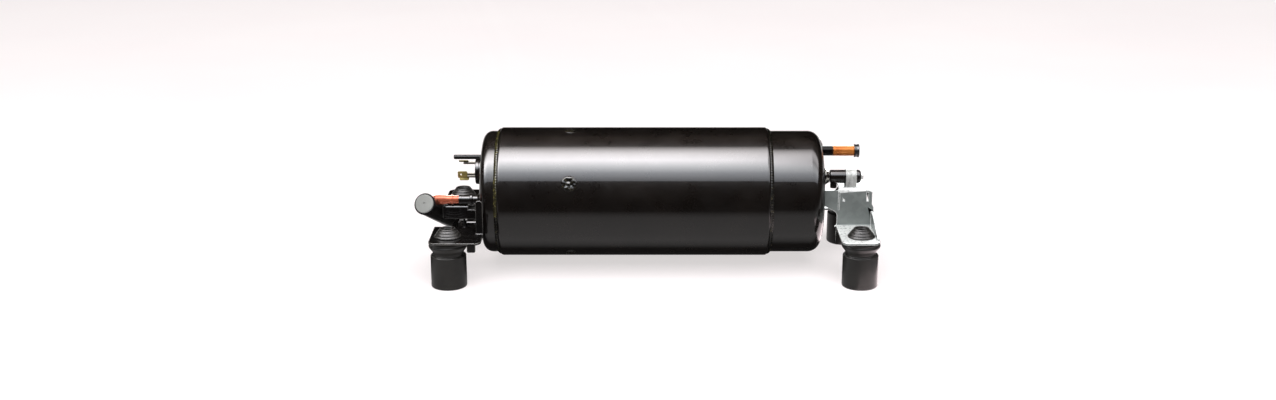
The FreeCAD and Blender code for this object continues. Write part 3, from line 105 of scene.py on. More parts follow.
def add_node(tree, kind, inputs=None, **settings):
    """Add a node; inputs are either numbers and colours or the sockets that feed them."""
    node = tree.nodes.new("ShaderNode" + kind)
    for key, setting in settings.items():
        setattr(node, key, setting)
    for key, source in (inputs or {}).items():
        if isinstance(source, bpy.types.NodeSocket):
            tree.links.new(source, node.inputs[key])
        else:
            node.inputs[key].default_value = source
    return node


def noise(tree, place, scale, stretch=(1, 1, 1), detail=4.0, rough=0.55):
    """Noise with about `scale` cells in a metre, stretched along the piece's own axes."""
    mapping = add_node(tree, "Mapping", {"Vector": place, "Scale": stretch})
    return add_node(tree, "TexNoise", {"Vector": mapping.outputs["Vector"], "Scale": scale, "Detail": detail,
                                       "Roughness": rough}).outputs["Fac"]


def remap(tree, source, low, high, first=0.3, last=0.7):
    """Spread the useful part of a 0-1 pattern between two numbers."""
    return add_node(tree, "MapRange", {"Value": source, "From Min": first, "From Max": last,
                                       "To Min": low, "To Max": high}).outputs["Result"]


def blend(tree, factor, dark, light):
    """Mix two colours, each an sRGB triple or another node's output."""
    mix = add_node(tree, "Mix", data_type="RGBA")
    for socket, source in ((mix.inputs[0], factor), (mix.inputs[6], dark), (mix.inputs[7], light)):
        if isinstance(source, bpy.types.NodeSocket):
            tree.links.new(source, socket)
        else:
            socket.default_value = linear(source) if isinstance(source, tuple) else source
    return mix.outputs[2]


def one_axis(tree, place, letter):
    """The X, Y or Z of a place."""
    return add_node(tree, "SeparateXYZ", {"Vector": place}).outputs[letter]


def maths(tree, operation, first, second, **settings):
    """A Math node on two numbers or sockets."""
    return add_node(tree, "Math", {0: first, 1: second}, operation=operation, **settings).outputs[0]


def ramp(tree, source, stops):
    """A colour ramp through (spot, colour) stops, whose colours are in linear light."""
    node = add_node(tree, "ValToRGB", {"Fac": source})
    while len(node.color_ramp.elements) < len(stops):
        node.color_ramp.elements.new(0.5)
    for element, (spot, colour) in zip(node.color_ramp.elements, stops):
        element.position = spot
        element.color = (*colour, 1)
    return node.outputs["Color"]


def bump(tree, height, distance, before=None):
    """Turn a pattern into relief; distance is the real height in metres."""
    inputs = {"Height": height, "Distance": distance, "Strength": 1.0}
    if before:
        inputs["Normal"] = before
    return add_node(tree, "Bump", inputs).outputs["Normal"]


print("node helpers ready")

# %% [markdown]
# The floor is one wide sheet of matt white paper. It is a stage, not a part of the object. It could be lit
# until it turns white, but then the lamps would bleach the bright pieces too, so the paper glows a little
# by itself. A faint noise in its colour keeps it from looking computed.

# %% Lay the floor
PAPER_GLOW = 0.63


def floor_paper():
    material, tree, shader, place = start_material("floor_paper")
    tone = noise(tree, place, 3, detail=2)
    tree.links.new(blend(tree, remap(tree, tone, 0, 1), (158, 152, 155), (163, 158, 160)),
                   shader.inputs["Base Color"])
    tree.links.new(bump(tree, noise(tree, place, 900), 0.00005), shader.inputs["Normal"])
    shader.inputs["Roughness"].default_value = 0.85
    shader.inputs["Specular IOR Level"].default_value = 0.2
    shader.inputs["Emission Color"].default_value = linear((255, 251, 250))
    shader.inputs["Emission Strength"].default_value = PAPER_GLOW
    return material


def stage_sheet(name, corner_points, material):
    """A flat four-cornered sheet for the studio, made from one bmesh face."""
    bm = bmesh.new()
    bm.faces.new([bm.verts.new(point) for point in corner_points])
    mesh = bpy.data.meshes.new(name)
    bm.to_mesh(mesh)
    bm.free()
    mesh.materials.append(material)
    sheet = bpy.data.objects.new(name, mesh)
    bpy.context.scene.collection.objects.link(sheet)
    return sheet


def level_corners(left, right, front, back, lift):
    """The corners of a level rectangle at one height."""
    return [(left, front, lift), (right, front, lift), (right, back, lift), (left, back, lift)]


FLOOR_REACH = 7.0
floor_size = (-FLOOR_REACH, FLOOR_REACH, -FLOOR_REACH, FLOOR_REACH)
stage_sheet("floor", level_corners(*floor_size, 0), floor_paper())
print("floor", 2 * FLOOR_REACH, "m wide")

# %% [markdown]
# ## Light
# Glossy black paint has almost no colour of its own: what we see is the studio in it. One long soft card
# above and in front gives the single bright band along the shell, with a crisp upper edge and a fade to
# blue-grey below. The card is a sheet of geometry rather than a lamp, because a material can grade its
# brightness across it. It is seen only in reflections. Plating mirrors far more than paint does, so the
# plated pieces see a dimmer card of their own, and light linking says which pieces see which card. Both
# cards let light through, so that one doesn't hide another.

# %% Hang the soft card
CARD_LENGTH = 3.2
CARD_RADIUS = 1.25
CARD_LOW, CARD_HIGH = math.radians(33), math.radians(101)
ENAMEL_CARD, PLATING_CARD = 31.0, 4.5
CARD_FALL, CARD_REST = 12.0, 0.15
CARD_GAP = 0.02


def see_through(tree, light):
    """Add an emission to a clear sheet, so that the light behind the card still comes through."""
    clear = add_node(tree, "BsdfTransparent").outputs["BSDF"]
    both = add_node(tree, "AddShader", {0: light.outputs["Emission"], 1: clear})
    tree.links.new(both.outputs["Shader"], tree.nodes["Material Output"].inputs["Surface"])


def card_glow(name, strength):
    """Emission that peaks behind the card's front edge and dims to the back and to the right."""
    material, tree, _, place = start_material(name)
    low_y = shell_axis.y - math.cos(CARD_LOW) * CARD_RADIUS
    high_y = shell_axis.y - math.cos(CARD_HIGH) * CARD_RADIUS
    across = add_node(tree, "MapRange", {"Value": one_axis(tree, place, "Y"), "From Min": low_y,
                                         "From Max": high_y}).outputs["Result"]
    colour = ramp(tree, across, [(0.0, (0.09, 0.095, 0.105)), (0.06, (0.12, 0.125, 0.135)),
                                 (0.24, (0.25, 0.26, 0.28)), (0.40, (0.58, 0.59, 0.61)),
                                 (0.555, (1.0, 0.97, 1.0)), (0.72, (0.74, 0.71, 0.72)),
                                 (0.94, (0.17, 0.16, 0.16)), (1.0, (0.03, 0.028, 0.028))])
    beyond = maths(tree, "MAXIMUM", one_axis(tree, place, "X"), 0.0)
    fall = maths(tree, "MULTIPLY", maths(tree, "POWER", beyond, 2.0), CARD_FALL, use_clamp=True)
    left = add_node(tree, "MapRange", {"Value": maths(tree, "MULTIPLY", fall, colour), "To Min": strength,
                                       "To Max": strength * CARD_REST}).outputs["Result"]
    see_through(tree, add_node(tree, "Emission", {"Color": colour, "Strength": left}))
    return material


def around_shell(angle, x, radius):
    """A point at an angle above the near side of the shell's axis."""
    return (x, shell_axis.y - math.cos(angle) * radius, shell_axis.z + math.sin(angle) * radius)


def glossy_sheet(name, corner_points, material, receivers=None):
    """A sheet that is only seen mirrored: in every piece, or only in the pieces of one collection."""
    sheet = stage_sheet(name, corner_points, material)
    sheet.visible_camera = False
    sheet.visible_diffuse = False
    sheet.visible_shadow = False
    if receivers is not None:
        sheet.light_linking.receiver_collection = receivers


def card_corners(low, high, half_length, radius):
    return [around_shell(low, -half_length, radius), around_shell(low, half_length, radius),
            around_shell(high, half_length, radius), around_shell(high, -half_length, radius)]


enamelled = bpy.data.collections.new("enamelled_pieces")
plated = bpy.data.collections.new("plated_pieces")
glossy_sheet("enamel_card", card_corners(CARD_LOW, CARD_HIGH, CARD_LENGTH / 2, CARD_RADIUS),
             card_glow("enamel_card_glow", ENAMEL_CARD), enamelled)
glossy_sheet("plating_card", card_corners(CARD_LOW, CARD_HIGH, CARD_LENGTH / 2, CARD_RADIUS + CARD_GAP),
             card_glow("plating_card_glow", PLATING_CARD), plated)
print("card from", round(math.degrees(CARD_LOW)), "to", round(math.degrees(CARD_HIGH)), "degrees")

# %% [markdown]
# A smaller card hangs low behind the machine. It is out of sight of the paint, and only gives the plated
# bracket's folds and rounded edges something pale to mirror. Nobody sees its own edges, so its glow needs
# no grading.

# %% Hang the back card
def plain_glow(name, shade, strength):
    """Even emission, for a card whose edges nobody sees mirrored."""
    material, _, shader, _ = start_material(name)
    shader.inputs["Base Color"].default_value = (0, 0, 0, 1)
    shader.inputs["Specular IOR Level"].default_value = 0.0
    shader.inputs["Emission Color"].default_value = linear(shade)
    shader.inputs["Emission Strength"].default_value = strength
    return material


BACK_CARD = 6.0
BACK_LOW, BACK_HIGH = math.radians(128), math.radians(177)
glossy_sheet("low_back_card", card_corners(BACK_LOW, BACK_HIGH, CARD_LENGTH / 2, CARD_RADIUS),
             plain_glow("back_card_glow", (250, 252, 252), BACK_CARD), plated)
print("back card from", round(math.degrees(BACK_LOW)), "to", round(math.degrees(BACK_HIGH)), "degrees")

# %% [markdown]
# The paint also mirrors the floor. Left alone, the whole lower half of the shell would be a flat grey. In a
# studio, black cloth on the table makes the mirrored floor end in a soft line, so that a nearly black band
# runs along the middle of the shell. Here the cloth is a glowing sheet just above the paper, which only
# mirrored rays see: a painted reflection of the floor. Its glow follows Y: bright paper close to the shell,
# painted shadow of the shell below it, and dark far in front. A bright strip beside the discharge end is a
# painted reflection too, and gives the pale patch low on that end's cap.

# %% Lay the mirrored floor
REFLECTION_REACH = 0.4
REFLECTION_LIFT, STRIP_LIFT = 0.2 * MM, 0.4 * MM
STRIP_GLOW = 4.5


def floor_reflection_glow():
    """Painted floor reflection with the shell's painted shadow, at a few distances from its axis along Y."""
    material, tree, _, place = start_material("floor_reflection_glow")
    across = add_node(tree, "MapRange", {"Value": one_axis(tree, place, "Y"), "From Min": -REFLECTION_REACH,
                                         "From Max": REFLECTION_REACH}).outputs["Result"]
    # painted shadow of the shell: the dark levels between -0.033 and 0.03 along Y
    levels = [(-0.4, 0.0), (-0.235, 0.02), (-0.18, 0.5), (-0.15, 0.78), (-0.09, 0.85), (-0.055, 0.76),
              (-0.043, 0.4), (-0.033, 0.02), (0.03, 0.02), (0.06, 0.7), (0.4, 0.8)]
    stops = [((spot + REFLECTION_REACH) / (2 * REFLECTION_REACH), (level, level * 0.97, level * 0.97))
             for spot, level in levels]
    light = add_node(tree, "Emission", {"Color": ramp(tree, across, stops), "Strength": 1.0})
    tree.links.new(light.outputs["Emission"], tree.nodes["Material Output"].inputs["Surface"])
    return material


# the glowing sheet is a painted reflection of the floor, seen only in mirrors
glossy_sheet("mirrored_floor", level_corners(*floor_size, REFLECTION_LIFT), floor_reflection_glow())
strip_left, strip_right, strip_front, strip_back = 0.176, 0.235, -0.12, 0.08
# a painted reflection of bright floor beyond the discharge end
glossy_sheet("end_strip", level_corners(strip_left, strip_right, strip_front, strip_back, STRIP_LIFT),
             plain_glow("end_strip_glow", (238, 222, 224), STRIP_GLOW), enamelled)
print("mirrored floor ends in front of the shell")

# %% [markdown]
# The even light comes from one large lamp overhead, which also gives the soft contact shadow, and a weak
# fill in front. The plated pieces get two small lamps of their own. The room behind is a warm dark grey
# that grows paler towards the back. It is seen in reflections and lifts the shadows a little.

# %% Switch on the lamps and the room
def area_lamp(name, place, target, width, depth, power, colour=(1, 1, 1)):
    """A rectangular lamp that faces a target; it lights the scene and isn't mirrored in the paint."""
    data = bpy.data.lights.new(name, "AREA")
    data.shape = "RECTANGLE"
    data.size, data.size_y = width, depth
    data.energy = power
    data.color = colour
    lamp = bpy.data.objects.new(name, data)
    bpy.context.scene.collection.objects.link(lamp)
    lamp.location = place
    lamp.rotation_euler = (Vector(target) - Vector(place)).to_track_quat("-Z", "Y").to_euler()
    lamp.visible_glossy = False
    lamp.visible_camera = False
    return lamp


area_lamp("overhead_lamp", (0, -1.0, 2.3), (0, 0, 0), 3.4, 3.2, 150, (1.0, 0.985, 0.98))
area_lamp("front_fill", (0.3, -2.2, 1.0), (0, 0, 0.05), 3.0, 1.4, 26, (0.97, 0.98, 1.0))

room = bpy.data.worlds.new("studio_room")
bpy.context.scene.world = room
room.use_nodes = True
walls = room.node_tree
room_place = walls.nodes.new("ShaderNodeTexCoord").outputs["Generated"]
towards_back = add_node(walls, "MapRange", {"Value": one_axis(walls, room_place, "Y"), "From Min": -0.4,
                                            "From Max": 0.9}).outputs["Result"]
wall_colour = blend(walls, towards_back, (28, 19, 14), (104, 90, 80))
walls.links.new(wall_colour, walls.nodes["Background"].inputs["Color"])
plating_fill = area_lamp("plating_fill", (0, -1.6, 0.7), (0, 0, 0.06), 1.6, 0.8, 6, (1.0, 0.99, 0.97))
plating_top = area_lamp("plating_top", (0, 0.2, 1.4), (0, 0, 0.06), 1.6, 1.2, 12)
for lamp in (plating_fill, plating_top):
    lamp.light_linking.receiver_collection = plated

# %% [markdown]
# ## Paint
# The shell is dipped or sprayed with a thick black enamel. Under a lamp such paint is a dark, faintly brown
# base with a clear, hard skin on top, so the material is a dark base with a coat. Real enamel is never a
# perfect mirror: it has a slow waviness called orange peel and a few specks of dust. Both are noise, fed to
# a bump a few microns high. The same recipe, duller or paler, serves the brackets and the threads, and a
# paler grey copy is a painted highlight along the black bracket's edges.

# %% Mix the black enamels
def enamel(name, dark, light, roughness, coat, peel_height, speck_height):
    """Black paint: mottled base, clear coat, orange peel and dust specks."""
    material, tree, shader, place = start_material(name)
    cloud = noise(tree, place, 22, detail=3)
    tree.links.new(blend(tree, remap(tree, cloud, 0, 1), dark, light), shader.inputs["Base Color"])
    haze = remap(tree, noise(tree, place, 60), roughness * 0.8, roughness * 1.25)
    tree.links.new(haze, shader.inputs["Roughness"])
    peel = bump(tree, noise(tree, place, 260, detail=2), peel_height)
    specks = remap(tree, noise(tree, place, 1500, detail=1), 0, 1, 0.68, 0.78)
    dusty = bump(tree, specks, speck_height, before=peel)
    tree.links.new(dusty, shader.inputs["Normal"])
    tree.links.new(peel, shader.inputs["Coat Normal"])
    shader.inputs["Specular IOR Level"].default_value = 0.1
    shader.inputs["Coat Weight"].default_value = coat
    shader.inputs["Coat Roughness"].default_value = 0.03
    return material


black_gloss = enamel("black_gloss_enamel", (9, 7, 6), (15, 12, 10), 0.3, 0.62, 0.000006, 0.000006)
black_satin = enamel("black_satin_enamel", (11, 11, 11), (20, 19, 19), 0.36, 0.35, 0.000015, 0.00002)
thread_black = enamel("black_thread", (9, 9, 9), (17, 16, 16), 0.4, 0.14, 0.00001, 0.00001)
bracket_black = enamel("black_bracket_enamel", (9, 8, 8), (18, 16, 15), 0.24, 0.65, 0.00002, 0.00002)
# paler grey enamel: a painted highlight along the black bracket's softened edges
edge_highlight_enamel = enamel("painted_edge_highlight_enamel", (34, 33, 32), (104, 102, 98), 0.3, 0.7, 0.00001, 0.00001)
print("enamels mixed")

# %% [markdown]
# A weld that is painted over keeps its ripples. They are finer than the shell's peel and much higher, and
# the paint is thin on their crests, where a little steel shows through. The terminal seam gets a paler olive
# copy: partly the weld's own olive tint from its flux residue, partly a painted highlight for the upper part
# of the seam, where the light falls on it.

# %% Paint over the welds
def weld_paint(name, dark, light, height):
    """Thin paint over weld ripples of a given height, paler on their crests."""
    material, tree, shader, place = start_material(name)
    ripple = noise(tree, place, 420, detail=3)
    crest = remap(tree, ripple, 0, 1, 0.55, 0.78)
    tree.links.new(blend(tree, crest, dark, light), shader.inputs["Base Color"])
    tree.links.new(bump(tree, ripple, height), shader.inputs["Normal"])
    tree.links.new(remap(tree, noise(tree, place, 900), 0.16, 0.34), shader.inputs["Roughness"])
    shader.inputs["Specular IOR Level"].default_value = 0.14
    shader.inputs["Coat Weight"].default_value = 0.3
    shader.inputs["Coat Roughness"].default_value = 0.06
    return material


painted_weld = weld_paint("painted_weld_bead", (11, 10, 8), (64, 60, 44), 0.00022)
# paler olive for the terminal seam: its own tint, and a painted highlight on its upper part
seam_tint_and_highlight = weld_paint("seam_bead_tint_and_highlight", (34, 32, 16), (112, 106, 62), 0.00018)
print("weld paint mixed")

# %% [markdown]
# ## Metals
# Bare and plated metals differ mainly in their tint and in the direction of their scratches. One recipe
# serves them all: two tints mixed by a slow cloud, a fine grain that is stretched along the way the metal
# was drawn, rolled or turned, and a roughness that follows the same grain, so that the highlights break up
# where the colour does.

# %% Melt the metals
def metal(name, dark, light, roughness, grain=400, stretch=(1, 1, 1), height=0.000015, cloud=30,
          metallic=1.0):
    """Metal with a cloudy tint and a directional grain."""
    material, tree, shader, place = start_material(name)
    clouds = noise(tree, place, cloud, detail=3)
    scratches = noise(tree, place, grain, stretch=stretch, detail=5)
    tint = maths(tree, "ADD", clouds, scratches)
    tree.links.new(blend(tree, remap(tree, tint, 0, 1, 0.75, 1.25), dark, light), shader.inputs["Base Color"])
    tree.links.new(remap(tree, scratches, roughness * 0.75, roughness * 1.35), shader.inputs["Roughness"])
    tree.links.new(bump(tree, scratches, height), shader.inputs["Normal"])
    shader.inputs["Metallic"].default_value = metallic
    return material


ALONG_SHELL = (0.08, 1, 1)
ACROSS_SHEET = (1, 1, 0.1)
terminal_steel = metal("terminal_steel", (58, 55, 50), (104, 98, 90), 0.34)
pin_steel = metal("pin_steel", (112, 108, 100), (168, 162, 152), 0.24, stretch=ALONG_SHELL)
tab_brass = metal("tab_brass", (84, 78, 38), (140, 130, 80), 0.3, stretch=ALONG_SHELL, metallic=0.5)
nickel_steel = metal("nickel_steel", (150, 148, 142), (196, 194, 188), 0.2, stretch=ALONG_SHELL)
zinc_bright = metal("zinc_bright", (160, 162, 160), (208, 210, 208), 0.28, stretch=ACROSS_SHEET, cloud=90,
                    metallic=0.6)
# paler zinc: painted highlight on the crest, the level plates and the softened edges
zinc_painted_highlight = metal("zinc_painted_highlight", (188, 191, 190), (222, 225, 224), 0.3, metallic=0.4)
grey_iron = metal("grey_iron", (72, 72, 70), (118, 117, 113), 0.42, grain=900, height=0.00004, metallic=0.85)
dark_steel = metal("dark_steel", (40, 40, 42), (78, 78, 78), 0.36)
hard_steel = metal("hard_steel", (128, 128, 128), (182, 181, 178), 0.2, stretch=ALONG_SHELL)
ground_steel = metal("ground_steel", (140, 140, 138), (200, 198, 194), 0.13, grain=700, height=0.000006)
spring_steel = metal("spring_steel", (74, 72, 70), (130, 127, 122), 0.28)
bare_sheet = metal("bare_sheet", (110, 110, 108), (158, 157, 152), 0.32, stretch=ACROSS_SHEET)
magnet_grey = metal("magnet_grey", (66, 66, 70), (104, 104, 108), 0.38)
cast_end_ring = metal("cast_end_ring", (138, 138, 136), (184, 183, 180), 0.4, grain=650, height=0.00005)
balance_brass = metal("balance_brass", (150, 122, 66), (200, 172, 104), 0.26, stretch=ALONG_SHELL)
copper_inner = metal("inner_copper", (150, 84, 56), (214, 136, 98), 0.25, stretch=ALONG_SHELL)
print("materials so far:", len(bpy.data.materials))

# %% [markdown]
# Zinc plate on a pressed bracket is satin, slightly green-grey, and shows a faint patchwork of crystals
# where the bath laid it down. Voronoi cells give the patches: each cell gets its own small change of tone
# and roughness.

# %% Plate the zinc bracket
def zinc_plate_finish():
    material, tree, shader, place = start_material("zinc_plate")
    patches = add_node(tree, "TexVoronoi", {"Vector": place, "Scale": 260.0})
    tone = one_axis(tree, patches.outputs["Color"], "X")
    rolled = noise(tree, place, 700, stretch=(0.1, 0.1, 1), detail=4)
    clouds = noise(tree, place, 18, detail=3)
    patched = blend(tree, remap(tree, tone, 0.0, 0.35, 0, 1), (112, 118, 117), (138, 144, 142))
    cloudy = blend(tree, remap(tree, clouds, 0, 0.55), patched, (100, 106, 104))
    tree.links.new(cloudy, shader.inputs["Base Color"])
    tree.links.new(remap(tree, tone, 0.28, 0.4, 0, 1), shader.inputs["Roughness"])
    tree.links.new(bump(tree, rolled, 0.000012), shader.inputs["Normal"])
    shader.inputs["Metallic"].default_value = 0.5
    shader.inputs["Coat Weight"].default_value = 0.7
    shader.inputs["Coat Roughness"].default_value = 0.2
    return material


zinc_plate = zinc_plate_finish()
print("zinc plated")

# %% [markdown]
# Copper pipe is drawn bright and then darkens in the hand. Near the shell, spray from the black paint shop
# reaches the first few millimetres of pipe. The mask for that overspray is the distance along X from the
# cap, with a noise added so that its edge is ragged, as a real spray edge is.

# %% Draw the copper, and dust it with overspray
cap_face_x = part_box("discharge_end_cap")[1].x
OVERSPRAY_REACH = 12.6 * MM
RAGGED = 0.8 * MM


def copper_finish(name, shade, skin, spray_until=None):
    """Drawn copper with a handled brown skin, painted over as far as spray_until along X."""
    material, tree, shader, place = start_material(name)
    clouds = noise(tree, place, 70, detail=4)
    drawn = noise(tree, place, 500, stretch=ALONG_SHELL, detail=4)
    warm = blend(tree, remap(tree, clouds, 0, 1), shade, skin)
    brown = blend(tree, remap(tree, drawn, 0, 0.35), warm, tuple(part * 0.72 for part in shade))
    roughness = remap(tree, drawn, 0.16, 0.26)
    if spray_until is not None:
        edge = remap(tree, noise(tree, place, 400), -RAGGED, RAGGED)
        ragged = maths(tree, "ADD", edge, one_axis(tree, place, "X"))
        bare = remap(tree, ragged, 0, 1, spray_until - RAGGED * 0.5, spray_until + RAGGED * 0.75)
        brown = blend(tree, bare, (12, 10, 9), brown)
    shader.inputs["Metallic"].default_value = 0.7
    shader.inputs["Coat Weight"].default_value = 0.6
    shader.inputs["Coat Roughness"].default_value = 0.12
    tree.links.new(brown, shader.inputs["Base Color"])
    tree.links.new(roughness, shader.inputs["Roughness"])
    tree.links.new(bump(tree, drawn, 0.00001), shader.inputs["Normal"])
    return material


copper_elbow = copper_finish("copper_elbow", (176, 84, 58), (220, 124, 94))
overspray_end = cap_face_x + OVERSPRAY_REACH
copper_discharge = copper_finish("copper_discharge", (182, 92, 34), (232, 148, 70), overspray_end)
print("overspray ends at", round(overspray_end, 4))

# %% [markdown]
# ## Rubber, glass and plastic
# Rubber is matt and holds dust, so its base is not black but dark grey, with a slow cloudy change of tone
# and a fine grain in its surface. The glass beads that seal the pins are opaque green-grey glass. Plastics
# and varnishes get a light sheen.

# %% Mould the rubbers and plastics
def moulded(name, dark, light, roughness, grain=600, height=0.00004, cloud=40, coat=0.0, level=0.35):
    """Rubber or plastic: cloudy colour, fine mould grain, even gloss."""
    material, tree, shader, place = start_material(name)
    clouds = noise(tree, place, cloud, detail=3)
    pores = noise(tree, place, grain, detail=4)
    tree.links.new(blend(tree, remap(tree, clouds, 0, 1), dark, light), shader.inputs["Base Color"])
    tree.links.new(remap(tree, pores, roughness * 0.85, roughness * 1.15), shader.inputs["Roughness"])
    tree.links.new(bump(tree, pores, height), shader.inputs["Normal"])
    shader.inputs["Specular IOR Level"].default_value = level
    shader.inputs["Coat Weight"].default_value = coat
    return material


foot_rubber = moulded("foot_rubber", (20, 19, 18), (31, 30, 28), 0.38, coat=0.05, level=0.22)
# dull, unreflective black for the accumulator's rim: painted shade in the gap round the plug
lip_painted_shade = moulded("lip_painted_shade", (6, 6, 6), (12, 11, 11), 0.6, level=0.04)
black_rubber = moulded("black_rubber", (8, 8, 8), (16, 15, 15), 0.36, coat=0.2)
grey_rubber = moulded("grey_rubber", (106, 108, 106), (126, 128, 126), 0.6, level=0.2)
sealing_glass = moulded("sealing_glass", (30, 42, 40), (52, 66, 60), 0.12, height=0.000008, coat=1.0,
                        level=0.5)
connector_plastic = moulded("connector_plastic", (196, 190, 172), (216, 211, 196), 0.45)
lead_insulation = moulded("lead_insulation", (150, 30, 26), (186, 52, 40), 0.48)
print("rubbers and plastics moulded")

# %% [markdown]
# ## The motor inside
# A stator is a stack of thin stamped sheets. The sheet edges show as fine lines round the stack, which is a
# wave texture across X. The windings are varnished copper wire laid side by side, so their lines run in the
# other direction, round the bundle.

# %% Stack the laminations and wind the coils
def striped(name, dark, light, sheet, direction, roughness, metallic, height, coat=0.0):
    """Fine parallel lines of a given real spacing across one direction."""
    material, tree, shader, place = start_material(name)
    lines = add_node(tree, "TexWave", {"Vector": place, "Scale": 0.5 / (sheet * math.pi), "Distortion": 0.6,
                                       "Detail": 2.0, "Detail Scale": 2.0},
                     wave_type="BANDS", bands_direction=direction).outputs["Fac"]
    clouds = noise(tree, place, 50)
    stripes = blend(tree, lines, dark, light)
    tree.links.new(blend(tree, remap(tree, clouds, 0, 0.4), stripes, dark), shader.inputs["Base Color"])
    tree.links.new(bump(tree, lines, height), shader.inputs["Normal"])
    tree.links.new(remap(tree, clouds, roughness * 0.85, roughness * 1.2), shader.inputs["Roughness"])
    shader.inputs["Metallic"].default_value = metallic
    shader.inputs["Coat Weight"].default_value = coat
    return material


lamination = striped("lamination_steel", (52, 54, 58), (112, 114, 116), 0.5 * MM, "X", 0.34, 0.9, 0.00006)
enamelled_copper = striped("enamelled_copper", (112, 48, 20), (198, 104, 52), 0.9 * MM, "DIAGONAL", 0.3, 0.7,
                           0.0002, coat=0.6)
print("motor finishes ready")

# %% [markdown]
# ## From profile to solid
# Most of this machine is round, so most pieces are a profile spun about an axis, as on a lathe. A profile
# is a few (along, radius) points. Corners are rounded afterwards with the bevel operator on the ring of
# edges that a corner leaves, which is exactly what a fillet is. Profiles are written in millimetres, as on
# a drawing.

# %% Lathe helpers
ENAMELS = {black_gloss, black_satin, thread_black, bracket_black, painted_weld, foot_rubber, black_rubber}
MERGE_GAP = 0.000002


def lathe(profile, rounds=None, steps=96, segments=5):
    """Spin (along, radius) points about X; rounds pairs the number of a corner with its radius."""
    bm = bmesh.new()
    line = [bm.verts.new((along, 0, radius)) for along, radius in profile]
    edges = [bm.edges.new(pair) for pair in zip(line, line[1:])]
    if profile[0][1] > 0:
        edges.append(bm.edges.new((line[-1], line[0])))
    bmesh.ops.spin(bm, geom=line + edges, axis=(1, 0, 0), cent=(0, 0, 0), angle=math.tau, steps=steps,
                   use_merge=True)
    bmesh.ops.remove_doubles(bm, verts=bm.verts, dist=0.000001)
    for number, radius in (rounds or {}).items():
        round_ring(bm, profile[number], radius, segments)
    bmesh.ops.recalc_face_normals(bm, faces=bm.faces)
    return bm


def round_ring(bm, corner, radius, segments=5):
    """Bevel the ring of edges that lies at one (along, radius) corner."""
    def on_corner(vert):
        return abs(vert.co.x - corner[0]) < 1e-6 and abs(math.hypot(vert.co.y, vert.co.z) - corner[1]) < 1e-6
    ring = [edge for edge in bm.edges if all(on_corner(vert) for vert in edge.verts)]
    bmesh.ops.bevel(bm, geom=ring, offset=radius, offset_type="OFFSET", affect="EDGES", segments=segments,
                    profile=0.5, material=-1, clamp_overlap=False)


def join(bm, other):
    """Take another bmesh's faces into the first one."""
    holder = bpy.data.meshes.new("holder")
    other.to_mesh(holder)
    other.free()
    bm.from_mesh(holder)
    bpy.data.meshes.remove(holder)


def turned(points, rounds, steps=96, segments=5):
    """A lathe piece whose profile and rounds are given in millimetres."""
    rounds = {corner: radius * MM for corner, radius in rounds.items()}
    return lathe([(along * MM, radius * MM) for along, radius in points], rounds, steps, segments)


def at_height(x, y, rise):
    """A place at x metres, with y and the rise above the shell's axis in millimetres."""
    return Matrix.Translation((x, y * MM, shell_axis.z + rise * MM))


def set_down(bm, place):
    """Move a mesh from its own axes to its place in the object."""
    bmesh.ops.transform(bm, matrix=place, verts=bm.verts)
    return bm


def dress(name, bm, finish, body, *stands_for, sharp=38, edge=None, edge_finish=None):
    """Turn a bmesh into a finished piece that rides on a body and stands for some CAD nodes."""
    bmesh.ops.remove_doubles(bm, verts=bm.verts, dist=MERGE_GAP)
    bmesh.ops.recalc_face_normals(bm, faces=bm.faces)
    mesh = bpy.data.meshes.new(name)
    bm.to_mesh(mesh)
    bm.free()
    mesh.materials.append(finish)
    if edge_finish:
        mesh.materials.append(edge_finish)
    mesh.shade_smooth()
    mesh.set_sharp_from_angle(angle=math.radians(sharp))
    piece = bpy.data.objects.new(name, mesh)
    bpy.context.scene.collection.objects.link(piece)
    (enamelled if finish in ENAMELS else plated).objects.link(piece)
    if edge:
        soft = piece.modifiers.new("soft_edges", "BEVEL")
        soft.width, soft.segments, soft.angle_limit = edge, 3, math.radians(30)
        soft.use_clamp_overlap = False
        if edge_finish:
            soft.material = 1
    piece.modifiers.new("even_shading", "WEIGHTED_NORMAL").keep_sharp = True
    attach(piece, body)
    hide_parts(*stands_for)
    print(name, len(mesh.polygons), "faces for", *stands_for)


def spin_piece(name, node, finish, place, points, rounds, steps=96, body="housing", sharp=38):
    """Spin a profile, set it down and dress it, for the many pieces that need nothing else."""
    dress(name, set_down(turned(points, rounds, steps), place), finish, body, node, sharp=sharp)


# %% [markdown]
# ## The shell
# The barrel is a piece of drawn tube whose ends were rolled slightly inwards before welding, so each end
# catches a thin line of light. A cylinder with a bevel would do, but a spun profile gives the wall and both
# rolls at once.

# %% Roll the barrel
WALL = 3.2 * MM
ROLL = 2.9 * MM
on_axis = at_height(0, 0, 0)
barrel_profile = [(shell_low.x, shell_radius - WALL), (shell_low.x, shell_radius),
                  (shell_high.x, shell_radius), (shell_high.x, shell_radius - WALL)]
barrel = set_down(lathe(barrel_profile, {1: ROLL, 2: ROLL}, steps=192, segments=6), on_axis)
dress("rolled_barrel", barrel, black_gloss, "housing", "shell_barrel")

# %% [markdown]
# The caps are pressed from sheet, a little smaller, and slide into the barrel. Each has a generous press
# radius and a very shallow step round its face, left by the tool. They are spun too, and the press radius
# is a bevel of many segments, because its highlight has to run smoothly round the bend.

# %% Press the caps
cap_radius = (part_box("discharge_end_cap")[1].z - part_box("discharge_end_cap")[0].z) / 2
FACE_STEP, FACE_STEP_RADIUS = 0.7 * MM, 46.5 * MM


